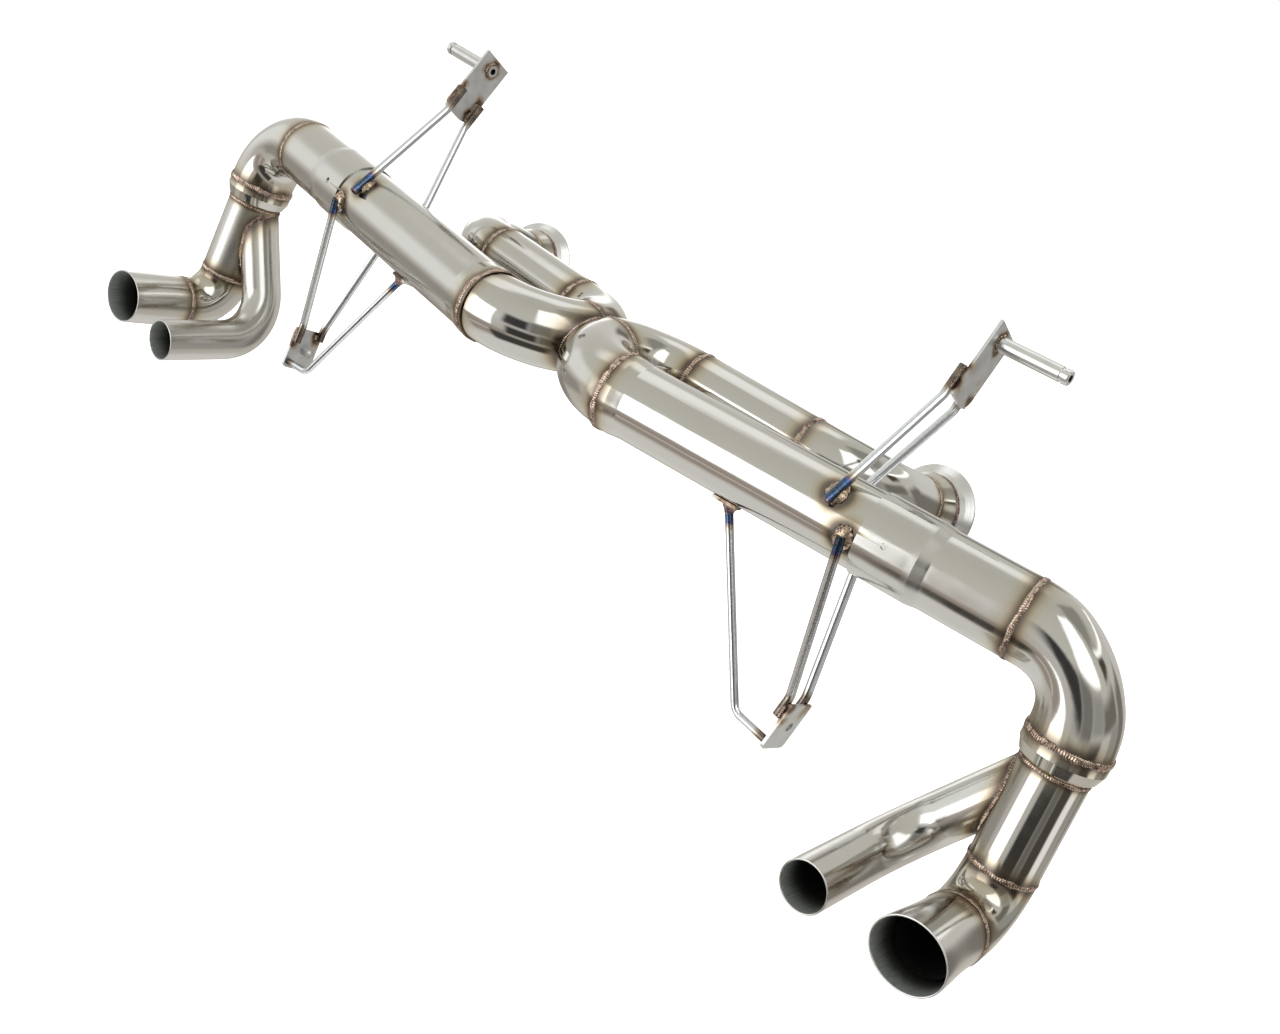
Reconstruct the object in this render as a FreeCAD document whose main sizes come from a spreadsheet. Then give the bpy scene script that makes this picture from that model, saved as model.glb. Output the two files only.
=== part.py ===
import FreeCAD, Part
import math
import os
import Sketcher
from FreeCAD import Placement, Rotation, Vector

os.makedirs("parts", exist_ok=True)
doc = FreeCAD.newDocument("racing_exhaust")

# ---------------------------------------------------------------- driving dimensions, mm and degrees
# Sheet-metal tube system, mirror-symmetric about the plane x = 0.
# +X runs across the car, +Y toward the engine, +Z up; the tips point toward -Y.
DIMENSIONS = {
    "main_radius": 38.1,
    "inlet_radius": 31.75,
    "merge_radius": 31.75,
    "branch_radius": 24.2,
    "tube_wall": 1.6,
    "socket_radius": 39.8,
    "flare_radius": 39.7,
    "flare_length": 11.0,
    "flare_cone": 14.0,
    "slip_clearance": 0.08,
    "slip_overlap": 44.0,
    "slip_slot_length": 24.0,
    "slip_slot_width": 2.4,
    "slip_keyhole_radius": 3.0,
    "rear_bend_radius": 76.2,
    "front_bend_radius": 70.8,
    "elbow_bend_radius": 72.5,
    "elbow_flattening": 3.6,
    "tip_bend_radius": 48.0,
    "branch_bend_radius": 66.0,
    "inlet_bend_radius": 74.0,
    "collar_length": 26.0,
    "collar_straight": 11.0,
    "reducer_radius": 38.1,
    "reducer_length": 24.0,
    "flange_radius": 50.5,
    "flange_lip": 5.0,
    "flange_neck": 9.0,
    "flange_groove_radius": 43.0,
    "tip_mouth_wide": 36.0,
    "tip_mouth_high": 31.0,
    "hanger_plate_long": 80.0,
    "hanger_plate_short": 44.0,
    "plate_thickness": 3.2,
    "hanger_corner": 14.0,
    "pin_radius": 7.5,
    "pin_spigot": 6.8,
    "pin_spigot_length": 6.6,
    "pin_bore": 3.6,
    "pin_length": 79.0,
    "pin_groove_radius": 6.4,
    "pin_groove_width": 3.0,
    "rod_radius": 4.5,
    "rod_bend_radius": 22.0,
    "stay_radius": 4.0,
    "stay_bend_radius": 16.0,
    "bracket_plate_long": 50.0,
    "bracket_plate_short": 41.0,
    "bracket_corner": 5.0,
    "bracket_hole": 4.6,
    "nut_radius": 7.6,
    "nut_height": 6.5,
    "nut_bore": 3.35,
    "tab_length": 26.0,
    "tab_width": 16.0,
}

sheet = doc.addObject("Spreadsheet::Sheet", "Dims")
sheet_rows = []


def dimension(name, value):
    """Write one driving number to the sheet and give it its name."""
    row = len(sheet_rows) + 1
    sheet_rows.append(name)
    sheet.set("A%d" % row, name)
    sheet.set("B%d" % row, "%.4f" % value)
    sheet.setAlias("B%d" % row, name)


for key, number in DIMENSIONS.items():
    dimension(key, number)
doc.recompute()
D = DIMENSIONS

# ---------------------------------------------------------------- station points, right-hand side
CENTRE_HEIGHT = 36.0
CROSS_TILT = 2.5
SHIFT = Vector(0, -36.5, -0.5)


def from_cross(x, y):
    """A point of the tilted plane that holds the crossover and the inlet tubes."""
    tilt = math.radians(CROSS_TILT)
    return Vector(x, y * math.cos(tilt), CENTRE_HEIGHT - y * math.sin(tilt))


CROSS_REAR = from_cross(96.0, -62.6)
MAIN_SWEEP = math.radians(9.4)
MAIN_DIR = Vector(math.cos(MAIN_SWEEP), math.sin(MAIN_SWEEP), 0)
SLIP_EDGE = CROSS_REAR + MAIN_DIR * 283.0
ELBOW_WELD = CROSS_REAR + MAIN_DIR * 433.5
ELBOW_CORNER = CROSS_REAR + MAIN_DIR * 510.8
TIP_BEND_WELD = Vector(610.0, -17.5, -154.3)
DOWN_DIR = (TIP_BEND_WELD - ELBOW_CORNER).normalize()
COLLAR_TOP = ELBOW_CORNER + DOWN_DIR * 73.0
MERGE_TOP = COLLAR_TOP + DOWN_DIR * D["collar_length"]
TIP_MOUTH = Vector(614.4, -156.5, -183.5)
TIP_CORNER = Vector(612.6, -28.0, -201.5)
TIP_DIR = (TIP_MOUTH - TIP_CORNER).normalize()
TIP_WELD = TIP_CORNER + TIP_DIR * 50.0
BRANCH_START = ELBOW_CORNER + DOWN_DIR * 103.5 + Vector(-3.0, 6.0, 0)
BRANCH_CORNER = Vector(512.5, -17.0, -203.5)
BRANCH_MOUTH = Vector(513.6, -161.5, -194.5)
INLET_INNER = from_cross(90.5, 64.0)
INLET_OUTER = from_cross(231.0, 76.0)
INLET_DIR = (INLET_OUTER - INLET_INNER).normalize()
INLET_CORNER = INLET_INNER + INLET_DIR * 206.6
FLANGE_FACE = Vector(313.5, 217.5, -17.5)
FORWARD_DIR = (FLANGE_FACE - INLET_CORNER).normalize()
HANGER_CENTRE = Vector(358.4, 94.3, 182.9)
HANGER_LONG = Vector(-0.03, 0.537, 0.843).normalize()
HANGER_SHORT = Vector(0, 0.843, -0.537)
PIN_SEAT = HANGER_CENTRE + HANGER_LONG * 26.0
BRACKET_CENTRE = Vector(388.6, -52.0, -154.5)
BRACKET_LONG = Vector(0.10, 0.30, 0.95).normalize()
BRACKET_SHORT = Vector(0, 0.954, -0.30)
NUT_SEAT = BRACKET_CENTRE + BRACKET_SHORT * 5.0
STAY_CORNER = Vector(346.3, -73.6, -161.5)

parts = []


def mirrored(vector, side):
    """The same point or direction on the chosen side: side is +1 right, -1 left."""
    return Vector(vector.x * side, vector.y, vector.z)


def suffix(side):
    return "right" if side > 0 else "left"


def frame_at(point, along, toward):
    """Placement whose local Z runs along one direction and local X leans toward another."""
    z_axis = Vector(along).normalize()
    x_axis = toward - z_axis * toward.dot(z_axis)
    x_axis.normalize()
    y_axis = z_axis.cross(x_axis)
    return Placement(point + SHIFT, Rotation(x_axis, y_axis, z_axis, "ZXY"))


def any_cross(direction):
    """Some direction well away from the given one."""
    if abs(direction.z) < 0.8:
        return Vector(0, 0, 1)
    return Vector(0, 1, 0)


# ---------------------------------------------------------------- small modelling helpers
def new_body(label):
    body = doc.addObject("PartDesign::Body", label)
    body.Label = label
    parts.append(body)
    return body


def plane_of(body, role):
    for item in body.Origin.OriginFeatures:
        if item.Role == role:
            return item
    raise ValueError(role)


def sketch_on(body, role, name, offset=None):
    sketch = body.newObject("Sketcher::SketchObject", name)
    sketch.AttachmentSupport = [(plane_of(body, role), "")]
    sketch.MapMode = "FlatFace"
    if offset is not None:
        sketch.AttachmentOffset = offset
    return sketch


def circle(sketch, x, y, radius, expression):
    """A circle with its centre fixed and its radius driven by the sheet."""
    index = sketch.addGeometry(Part.Circle(Vector(x, y, 0), Vector(0, 0, 1), radius), False)
    if abs(x) < 1e-9 and abs(y) < 1e-9:
        sketch.addConstraint(Sketcher.Constraint("Coincident", index, 3, -1, 1))
    else:
        sketch.addConstraint(Sketcher.Constraint("DistanceX", -1, 1, index, 3, x))
        sketch.addConstraint(Sketcher.Constraint("DistanceY", -1, 1, index, 3, y))
    row = sketch.addConstraint(Sketcher.Constraint("Radius", index, radius))
    sketch.setExpression("Constraints[%d]" % row, expression)
    return index


def polygon(sketch, points):
    """A closed outline through fixed points."""
    count = len(points)
    lines = []
    for i in range(count):
        a = Vector(points[i][0], points[i][1], 0)
        b = Vector(points[(i + 1) % count][0], points[(i + 1) % count][1], 0)
        lines.append(sketch.addGeometry(Part.LineSegment(a, b), False))
    for i in range(count):
        sketch.addConstraint(Sketcher.Constraint("Coincident", lines[i], 2, lines[(i + 1) % count], 1))
    return lines


def ring_profile(sketch, outer, wall, outer_name, wall_name, solid=False):
    circle(sketch, 0, 0, outer, outer_name)
    if not solid:
        circle(sketch, 0, 0, outer - wall, "%s - %s" % (outer_name, wall_name))


def straight_tube(label, point, direction, length, radius_name, solid=False):
    """A straight round tube or rod from one point along one direction."""
    dimension(label + "_length", length)
    doc.recompute()
    body = new_body(label)
    profile = sketch_on(body, "XY_Plane", label + "_section")
    ring_profile(profile, D[radius_name], D["tube_wall"], "Dims." + radius_name, "Dims.tube_wall", solid)
    pad = body.newObject("PartDesign::Pad", label + "_pad")
    pad.Profile = profile
    pad.setExpression("Length", "Dims.%s_length" % label)
    profile.Visibility = False
    body.Tip = pad
    body.Placement = frame_at(point, direction, any_cross(direction))
    return body


def bent_tube(label, start, corner, end, bend_name, radius_name, solid=False):
    """A round tube or rod with one bend, from start round the corner to end."""
    first = (corner - start).normalize()
    second = (end - corner).normalize()
    angle = first.getAngle(second)
    reach = D[bend_name] * math.tan(angle / 2)
    leg_a = (corner - start).Length - reach
    leg_b = (end - corner).Length - reach
    if min(leg_a, leg_b) < 0.5:
        raise ValueError("%s legs %.2f %.2f" % (label, leg_a, leg_b))
    dimension(label + "_leg_a", leg_a)
    dimension(label + "_leg_b", leg_b)
    dimension(label + "_turn", math.degrees(angle))
    doc.recompute()
    body = new_body(label)
    bend = D[bend_name]
    spine = sketch_on(body, "XZ_Plane", label + "_path")
    line_a = spine.addGeometry(Part.LineSegment(Vector(0, 0, 0), Vector(0, leg_a, 0)), False)
    arc_circle = Part.Circle(Vector(bend, leg_a, 0), Vector(0, 0, 1), bend)
    arc = spine.addGeometry(Part.ArcOfCircle(arc_circle, math.pi - angle, math.pi), False)
    exit_point = Vector(bend - bend * math.cos(angle), leg_a + bend * math.sin(angle), 0)
    exit_dir = Vector(math.sin(angle), math.cos(angle), 0)
    line_b = spine.addGeometry(Part.LineSegment(exit_point, exit_point + exit_dir * leg_b), False)
    spine.addConstraint(Sketcher.Constraint("Coincident", line_a, 1, -1, 1))
    spine.addConstraint(Sketcher.Constraint("Vertical", line_a))
    spine.addConstraint(Sketcher.Constraint("Tangent", line_a, 2, arc, 2))
    spine.addConstraint(Sketcher.Constraint("Tangent", arc, 1, line_b, 1))
    row = spine.addConstraint(Sketcher.Constraint("Distance", line_a, leg_a))
    spine.setExpression("Constraints[%d]" % row, "Dims.%s_leg_a" % label)
    row = spine.addConstraint(Sketcher.Constraint("Radius", arc, bend))
    spine.setExpression("Constraints[%d]" % row, "Dims." + bend_name)
    row = spine.addConstraint(Sketcher.Constraint("Distance", line_b, leg_b))
    spine.setExpression("Constraints[%d]" % row, "Dims.%s_leg_b" % label)
    row = spine.addConstraint(Sketcher.Constraint("Angle", line_b, 1, -2, 1, angle))
    profile = sketch_on(body, "XY_Plane", label + "_section")
    ring_profile(profile, D[radius_name], D["tube_wall"], "Dims." + radius_name, "Dims.tube_wall", solid)
    pipe = body.newObject("PartDesign::AdditivePipe", label + "_pipe")
    pipe.Profile = profile
    pipe.Spine = (spine, ["Edge1", "Edge2", "Edge3"])
    profile.Visibility = False
    spine.Visibility = False
    body.Tip = pipe
    body.Placement = frame_at(start, first, second)
    return body


def turned(label, point, direction, outline, bindings):
    """A shape of revolution about its own Z axis; outline gives radius and height pairs."""
    body = new_body(label)
    profile = sketch_on(body, "XZ_Plane", label + "_outline")
    lines = polygon(profile, outline)
    for i, (radius, height) in enumerate(outline):
        row = profile.addConstraint(Sketcher.Constraint("DistanceX", -1, 1, lines[i], 1, radius))
        profile.setExpression("Constraints[%d]" % row, bindings[i][0])
        if abs(height) < 1e-9:
            profile.addConstraint(Sketcher.Constraint("PointOnObject", lines[i], 1, -1))
        else:
            row = profile.addConstraint(Sketcher.Constraint("DistanceY", -1, 1, lines[i], 1, height))
            profile.setExpression("Constraints[%d]" % row, bindings[i][1])
    spin = body.newObject("PartDesign::Revolution", label + "_turn")
    spin.Profile = profile
    spin.ReferenceAxis = (profile, ["V_Axis"])
    spin.Angle = 360
    profile.Visibility = False
    body.Tip = spin
    body.Placement = frame_at(point, direction, any_cross(direction))
    return body


def cut_region(body, name, points):
    """Cut away an outline in the body's XZ plane, right through in both directions."""
    sketch = sketch_on(body, "XZ_Plane", name + "_outline")
    polygon(sketch, points)
    pocket = body.newObject("PartDesign::Pocket", name)
    pocket.Profile = sketch
    pocket.Type = "ThroughAll"
    pocket.SideType = "Symmetric"
    sketch.Visibility = False
    body.Tip = pocket
    return pocket


def helper_cylinder(name, point, direction, length, radius_text):
    """A plain cylinder used only as a cutting tool."""
    tool = doc.addObject("Part::Cylinder", name)
    tool.setExpression("Radius", radius_text)
    tool.Height = length
    tool.Placement = frame_at(point, direction, any_cross(direction))
    return tool


def cut_of(label, base, tool):
    """The base with the tool removed, as a named part."""
    if base in parts:
        parts.remove(base)
        base.Label = label + "_blank"
    result = doc.addObject("Part::Cut", label)
    result.Base = base
    result.Tool = tool
    result.Label = label
    parts.append(result)
    return result


def oval(name, centre, turn, wide, high, wide_text, high_text):
    """An oval hoop; turn swings it about local Y away from the local XY plane."""
    hoop = doc.addObject("Part::Ellipse", name)
    across = Rotation(Vector(0, 1, 0), turn)
    major, minor = wide_text, high_text
    if high > wide:
        major, minor = high_text, wide_text
        across = across.multiply(Rotation(Vector(0, 0, 1), 90))
    hoop.setExpression("MajorRadius", major)
    hoop.setExpression("MinorRadius", minor)
    hoop.Placement = Placement(centre, across)
    return hoop


def hoop_pair(name, outer_hoops, inner_hoops, centre, turn, wide, high, wide_text, high_text):
    """The outer hoop of a tube section and the inner one a wall smaller."""
    wall = D["tube_wall"]
    inner_texts = ["%s - Dims.tube_wall" % text for text in (wide_text, high_text)]
    outer_hoops.append(oval(name + "_o", centre, turn, wide, high, wide_text, high_text))
    inner_hoops.append(oval(name + "_i", centre, turn, wide - wall, high - wall, *inner_texts))


def blend_text(first, second, share):
    """Sheet expression part of the way from one named size to another."""
    return "Dims.%s + (Dims.%s - Dims.%s) * %.4f" % (first, second, first, share)


def loft_through(name, hoops):
    loft = doc.addObject("Part::Loft", name)
    loft.Sections = hoops
    loft.Solid = True
    loft.Ruled = False
    return loft


def corner_fillet(body, base, label, spots, radius_name):
    """Round the plate edges that stand at the given corners."""
    doc.recompute()
    names = []
    for number, edge in enumerate(base.Shape.Edges):
        box = edge.BoundBox
        if box.ZLength < 1.0 or box.XLength > 0.01 or box.YLength > 0.01:
            continue
        for x, y in spots:
            if abs(box.Center.x - x) < 0.1 and abs(box.Center.y - y) < 0.1:
                names.append("Edge%d" % (number + 1))
    if not names:
        raise ValueError("no corner edge on " + label)
    fillet = body.newObject("PartDesign::Fillet", label + "_corner")
    fillet.Base = (base, names)
    fillet.setExpression("Radius", "Dims." + radius_name)
    body.Tip = fillet
    return fillet


def plate(label, centre, long_axis, short_axis, long_name, short_name, corner_name, corners, holes):
    """A flat plate centred on its own origin, thickness both ways, with rounded corners and holes."""
    body = new_body(label)
    half_long = D[long_name] / 2
    half_short = D[short_name] / 2
    outline = sketch_on(body, "XY_Plane", label + "_outline")
    corners_xy = [(-half_short, -half_long), (half_short, -half_long)]
    corners_xy += [(half_short, half_long), (-half_short, half_long)]
    lines = polygon(outline, corners_xy)
    for i, line in enumerate(lines):
        outline.addConstraint(Sketcher.Constraint("Horizontal" if i % 2 == 0 else "Vertical", line))
    row = outline.addConstraint(Sketcher.Constraint("Distance", lines[0], 2 * half_short))
    outline.setExpression("Constraints[%d]" % row, "Dims." + short_name)
    row = outline.addConstraint(Sketcher.Constraint("Distance", lines[1], 2 * half_long))
    outline.setExpression("Constraints[%d]" % row, "Dims." + long_name)
    outline.addConstraint(Sketcher.Constraint("Symmetric", lines[0], 1, lines[2], 1, -1, 1))
    pad = body.newObject("PartDesign::Pad", label + "_pad")
    pad.Profile = outline
    pad.SideType = "Symmetric"
    pad.setExpression("Length", "Dims.plate_thickness")
    outline.Visibility = False
    body.Tip = pad
    for number, (x, y, radius_name, radius) in enumerate(holes):
        hole_sketch = sketch_on(body, "XY_Plane", "%s_hole_%d" % (label, number))
        circle(hole_sketch, x, y, radius, "Dims." + radius_name)
        hole = body.newObject("PartDesign::Pocket", "%s_bore_%d" % (label, number))
        hole.Profile = hole_sketch
        hole.Type = "ThroughAll"
        hole.SideType = "Symmetric"
        hole_sketch.Visibility = False
        body.Tip = hole
    spots = [corners_xy[i] for i in corners]
    corner_fillet(body, body.Tip, label, spots, corner_name)
    normal = short_axis.cross(long_axis)
    placement = frame_at(centre, normal, short_axis)
    body.Placement = placement
    return body


def along_plate(centre, long_axis, short_axis, side, short, long, off):
    """A point beside a plate: distances along its short and long axes and inboard of its middle."""
    outward = short_axis.cross(long_axis)
    if outward.x < 0:
        outward = outward * -1
    return mirrored(centre + short_axis * short + long_axis * long - outward * off, side)


def touching(upper, lower, point, direction, distance):
    """Shift the pipe end of a rod so that the rod just touches the main pipe."""
    end = Vector(lower)
    for _ in range(30):
        across = (end - upper).cross(direction).normalize()
        gap = (end - point).dot(across)
        if gap < 0:
            across = across * -1
            gap = -gap
        end = end + across * (distance - gap)
    return end


# ---------------------------------------------------------------- one side after the other
T = DIMENSIONS["tube_wall"]
ROD_GAP = D["plate_thickness"] / 2 + D["rod_radius"] + 0.02
TOUCH = D["main_radius"] + D["rod_radius"] + 0.02

for side in (1, -1):
    s = suffix(side)

    def here(vector):
        return mirrored(vector, side)

    # crossover: two bends per side, trimmed on the middle plane and on the cross plane
    middle = 96.0 - 1.0 - D["rear_bend_radius"]
    corner = from_cross(middle, -62.6)
    beyond = from_cross(middle, 45.0)
    rear = bent_tube("crossover_rear_" + s, here(CROSS_REAR), here(corner), here(beyond),
                     "rear_bend_radius", "main_radius")
    cut_region(rear, "crossover_rear_trim_mid_" + s, [(-150, 96.0), (250, 96.0), (250, 300), (-150, 300)])
    cut_region(rear, "crossover_rear_trim_front_" + s, [(62.6, -60), (250, -60), (250, 300), (62.6, 300)])

    # front bends open from the inlet size to the oval the rear bends leave on the cross plane
    rise = D["rear_bend_radius"] - 62.6
    meet = middle + D["rear_bend_radius"] - math.sqrt(D["rear_bend_radius"] ** 2 - rise ** 2)
    meet_wide = D["main_radius"] * D["rear_bend_radius"] / math.sqrt(D["rear_bend_radius"] ** 2 - rise ** 2)
    bend = ((90.5 - meet) ** 2 + 64.0 ** 2) / (2 * 64.0)
    turn_total = math.degrees(2 * math.atan(64.0 / (90.5 - meet)))
    dimension("meet_wide_" + s, meet_wide)
    doc.recompute()
    outer_hoops = []
    inner_hoops = []
    for number, share in enumerate((0.0, 0.0, 0.08, 0.25, 0.55, 0.85, 1.0)):
        part_turn = turn_total * number / 6.0
        angle = math.radians(part_turn)
        centre = Vector(bend - bend * math.cos(angle), 0, bend * math.sin(angle))
        if number == 6:
            part_turn = 90.0
        wide = D["inlet_radius"] + (meet_wide - D["inlet_radius"]) * share
        high = D["inlet_radius"] + (D["main_radius"] - D["inlet_radius"]) * share
        hoop_pair("front_%s_%d" % (s, number), outer_hoops, inner_hoops, centre, part_turn, wide, high,
                  blend_text("inlet_radius", "meet_wide_" + s, share),
                  blend_text("inlet_radius", "main_radius", share))
    outer = loft_through("front_outer_" + s, outer_hoops)
    inner = loft_through("front_inner_" + s, inner_hoops)
    shell = doc.addObject("Part::Cut", "front_shell_" + s)
    shell.Base = outer
    shell.Tool = inner
    keep = doc.addObject("Part::Box", "front_keep_" + s)
    keep.Length = 300
    keep.Width = 200
    keep.Height = 90.5
    keep.Placement = Placement(Vector(-120, -100, 0), Rotation())
    front = doc.addObject("Part::Common", "crossover_front_" + s)
    front.Base = shell
    front.Tool = keep
    front.Label = "crossover_front_" + s
    front.Placement = frame_at(here(INLET_INNER), Vector(-side, 0, 0), from_cross(0, -1) - from_cross(0, 0))
    parts.append(front)

    # main pipe: flared socket at the crossover end, spigot at the outer end
    spigot = 283.0 + D["slip_overlap"]
    r_main = D["main_radius"]
    flare = D["flare_length"]
    cone_end = flare + D["flare_cone"]
    dimension("main_pipe_length_" + s, spigot)
    doc.recompute()
    long_text = "Dims.main_pipe_length_" + s
    main = turned("main_pipe_" + s, here(CROSS_REAR), here(MAIN_DIR), [
        (r_main, -14.0),
        (D["flare_radius"], -14.0),
        (D["flare_radius"], flare),
        (r_main, cone_end),
        (r_main, spigot),
        (r_main - T, spigot),
        (r_main - T, cone_end),
        (r_main, flare),
    ], [
        ("Dims.main_radius", "-14"),
        ("Dims.flare_radius", "-14"),
        ("Dims.flare_radius", "Dims.flare_length"),
        ("Dims.main_radius", "Dims.flare_length + Dims.flare_cone"),
        ("Dims.main_radius", long_text),
        ("Dims.main_radius - Dims.tube_wall", long_text),
        ("Dims.main_radius - Dims.tube_wall", "Dims.flare_length + Dims.flare_cone"),
        ("Dims.main_radius", "Dims.flare_length"),
    ])
    main.Placement = frame_at(here(CROSS_REAR), here(MAIN_DIR), Vector(0, 1, 0))
    lean = math.tan(MAIN_SWEEP)
    cut_region(main, "main_pipe_trim_" + s, [(-60, -40), (60, -40), (60, 60 * lean), (-60, -60 * lean)])

    # slip pipe: slotted socket that slides and turns on the spigot
    r_socket = D["main_radius"] + D["slip_clearance"]
    slip_end = 433.5 - 283.0
    dimension("slip_pipe_length_" + s, slip_end)
    doc.recompute()
    slip_text = "Dims.slip_pipe_length_" + s
    slip = turned("slip_pipe_" + s, here(SLIP_EDGE), here(MAIN_DIR), [
        (r_socket, 0.0),
        (D["socket_radius"], 0.0),
        (D["socket_radius"], 56.0),
        (r_main, 68.0),
        (r_main, slip_end),
        (r_main - T, slip_end),
        (r_main - T, 68.0),
        (r_socket, 56.0),
    ], [
        ("Dims.main_radius + Dims.slip_clearance", "0"),
        ("Dims.socket_radius", "0"),
        ("Dims.socket_radius", "Dims.slip_overlap + 12"),
        ("Dims.main_radius", "Dims.slip_overlap + 24"),
        ("Dims.main_radius", slip_text),
        ("Dims.main_radius - Dims.tube_wall", slip_text),
        ("Dims.main_radius - Dims.tube_wall", "Dims.slip_overlap + 24"),
        ("Dims.main_radius + Dims.slip_clearance", "Dims.slip_overlap + 12"),
    ])
    slot_facing = Vector(0, -0.956, 0.292)
    slip.Placement = frame_at(here(SLIP_EDGE), here(MAIN_DIR), slot_facing)
    slot = sketch_on(slip, "YZ_Plane", "slip_slot_outline_" + s)
    half_slot = D["slip_slot_width"] / 2
    polygon(slot, [(-half_slot, -1), (half_slot, -1), (half_slot, 24.0), (-half_slot, 24.0)])
    slot_cut = slip.newObject("PartDesign::Pocket", "slip_slot_" + s)
    slot_cut.Profile = slot
    slot_cut.Type = "Length"
    slot_cut.Length = 60
    slot_cut.Reversed = True
    slip.Tip = slot_cut
    key = sketch_on(slip, "YZ_Plane", "slip_keyhole_outline_" + s)
    circle(key, 0, 24.0 + 2.0, D["slip_keyhole_radius"], "Dims.slip_keyhole_radius")
    key_cut = slip.newObject("PartDesign::Pocket", "slip_keyhole_" + s)
    key_cut.Profile = key
    key_cut.Type = "Length"
    key_cut.Length = 60
    key_cut.Reversed = True
    slip.Tip = key_cut

    # down-turned elbow, shouldered collar and merge tube
    elbow_turn = MAIN_DIR.getAngle(DOWN_DIR)
    bend = D["elbow_bend_radius"]
    reach = bend * math.tan(elbow_turn / 2)
    leg = (ELBOW_CORNER - ELBOW_WELD).Length - reach
    leg_out = (COLLAR_TOP - ELBOW_CORNER).Length - reach
    if min(leg, leg_out) < 0.3:
        raise ValueError("elbow legs %.2f %.2f" % (leg, leg_out))
    outer_hoops = []
    inner_hoops = []
    for number in range(10):
        share = max(0.0, min(1.0, (number - 1) / 7.0))
        angle = elbow_turn * share
        x = bend - bend * math.cos(angle)
        z = leg * (number > 0) + bend * math.sin(angle)
        if number == 9:
            x = x + leg_out * math.sin(angle)
            z = z + leg_out * math.cos(angle)
        narrow = D["elbow_flattening"] * math.sin(math.pi * share) ** 2
        wide = D["main_radius"] - narrow
        high = D["main_radius"]
        centre = Vector(x, 0, z)
        turn = math.degrees(angle)
        wide_text = "Dims.main_radius - Dims.elbow_flattening * %.4f" % (narrow / D["elbow_flattening"])
        hoop_pair("elbow_%s_%d" % (s, number), outer_hoops, inner_hoops, centre, turn, wide, high,
                  wide_text, "Dims.main_radius")
    outer = loft_through("elbow_outer_" + s, outer_hoops)
    inner = loft_through("elbow_inner_" + s, inner_hoops)
    elbow = cut_of("main_elbow_" + s, outer, inner)
    elbow.Placement = frame_at(here(ELBOW_WELD), here(MAIN_DIR), here(DOWN_DIR))
    length = D["collar_length"]
    shoulder = D["collar_straight"]
    r_merge = D["merge_radius"]
    turned("collar_" + s, here(COLLAR_TOP), here(DOWN_DIR), [
        (r_main - 1.2, 0.0),
        (r_main + 0.6, 0.0),
        (r_main + 0.6, shoulder),
        (r_merge + 3.0, length - 5.0),
        (r_merge, length - 2.0),
        (r_merge, length),
        (r_merge - T, length),
        (r_merge - T, length - 3.0),
        (r_main - 1.2, shoulder - 1.0),
    ], [
        ("Dims.main_radius - 1.2", "0"),
        ("Dims.main_radius + 0.6", "0"),
        ("Dims.main_radius + 0.6", "Dims.collar_straight"),
        ("Dims.merge_radius + 3", "Dims.collar_length - 5"),
        ("Dims.merge_radius", "Dims.collar_length - 2"),
        ("Dims.merge_radius", "Dims.collar_length"),
        ("Dims.merge_radius - Dims.tube_wall", "Dims.collar_length"),
        ("Dims.merge_radius - Dims.tube_wall", "Dims.collar_length - 3"),
        ("Dims.main_radius - 1.2", "Dims.collar_straight - 1"),
    ])
    merge_run = (TIP_BEND_WELD - MERGE_TOP).Length
    merge = straight_tube("merge_tube_" + s, here(MERGE_TOP), here(DOWN_DIR), merge_run, "merge_radius")
    branch = bent_tube("branch_tube_" + s, here(BRANCH_START), here(BRANCH_CORNER), here(BRANCH_MOUTH),
                       "branch_bend_radius", "branch_radius")
    branch_dir = (BRANCH_CORNER - BRANCH_START).normalize()
    bore = helper_cylinder("branch_bore_" + s, here(BRANCH_START), here(branch_dir), 75.0,
                           "Dims.branch_radius - Dims.tube_wall")
    cut_of("merge_tube_%s" % s, merge, bore)
    core = helper_cylinder("merge_core_" + s, here(COLLAR_TOP), here(DOWN_DIR), 160.0, "Dims.merge_radius")
    cut_of("branch_tube_%s" % s, branch, core)

    # bend to the rear and the large tip, opened to an oval mouth
    bent_tube("tip_bend_" + s, here(TIP_BEND_WELD), here(TIP_CORNER), here(TIP_WELD),
              "tip_bend_radius", "merge_radius")
    tip_run = (TIP_MOUTH - TIP_WELD).Length
    outer_hoops = []
    inner_hoops = []
    for number, (share, spread) in enumerate(((0.0, 0.0), (0.12, 0.0), (0.55, 0.35), (0.88, 0.9), (1.0, 1.0))):
        wide = r_merge + (D["tip_mouth_wide"] - r_merge) * spread
        high = r_merge + (D["tip_mouth_high"] - r_merge) * spread
        centre = Vector(0, 0, tip_run * share)
        hoop_pair("tip_%s_%d" % (s, number), outer_hoops, inner_hoops, centre, 0, wide, high,
                  blend_text("merge_radius", "tip_mouth_wide", spread),
                  blend_text("merge_radius", "tip_mouth_high", spread))
    outer = loft_through("tip_outer_" + s, outer_hoops)
    inner = loft_through("tip_inner_" + s, inner_hoops)
    tip = cut_of("large_tip_" + s, outer, inner)
    tip.Placement = frame_at(here(TIP_WELD), here(TIP_DIR), Vector(1, 0, 0))

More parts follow.
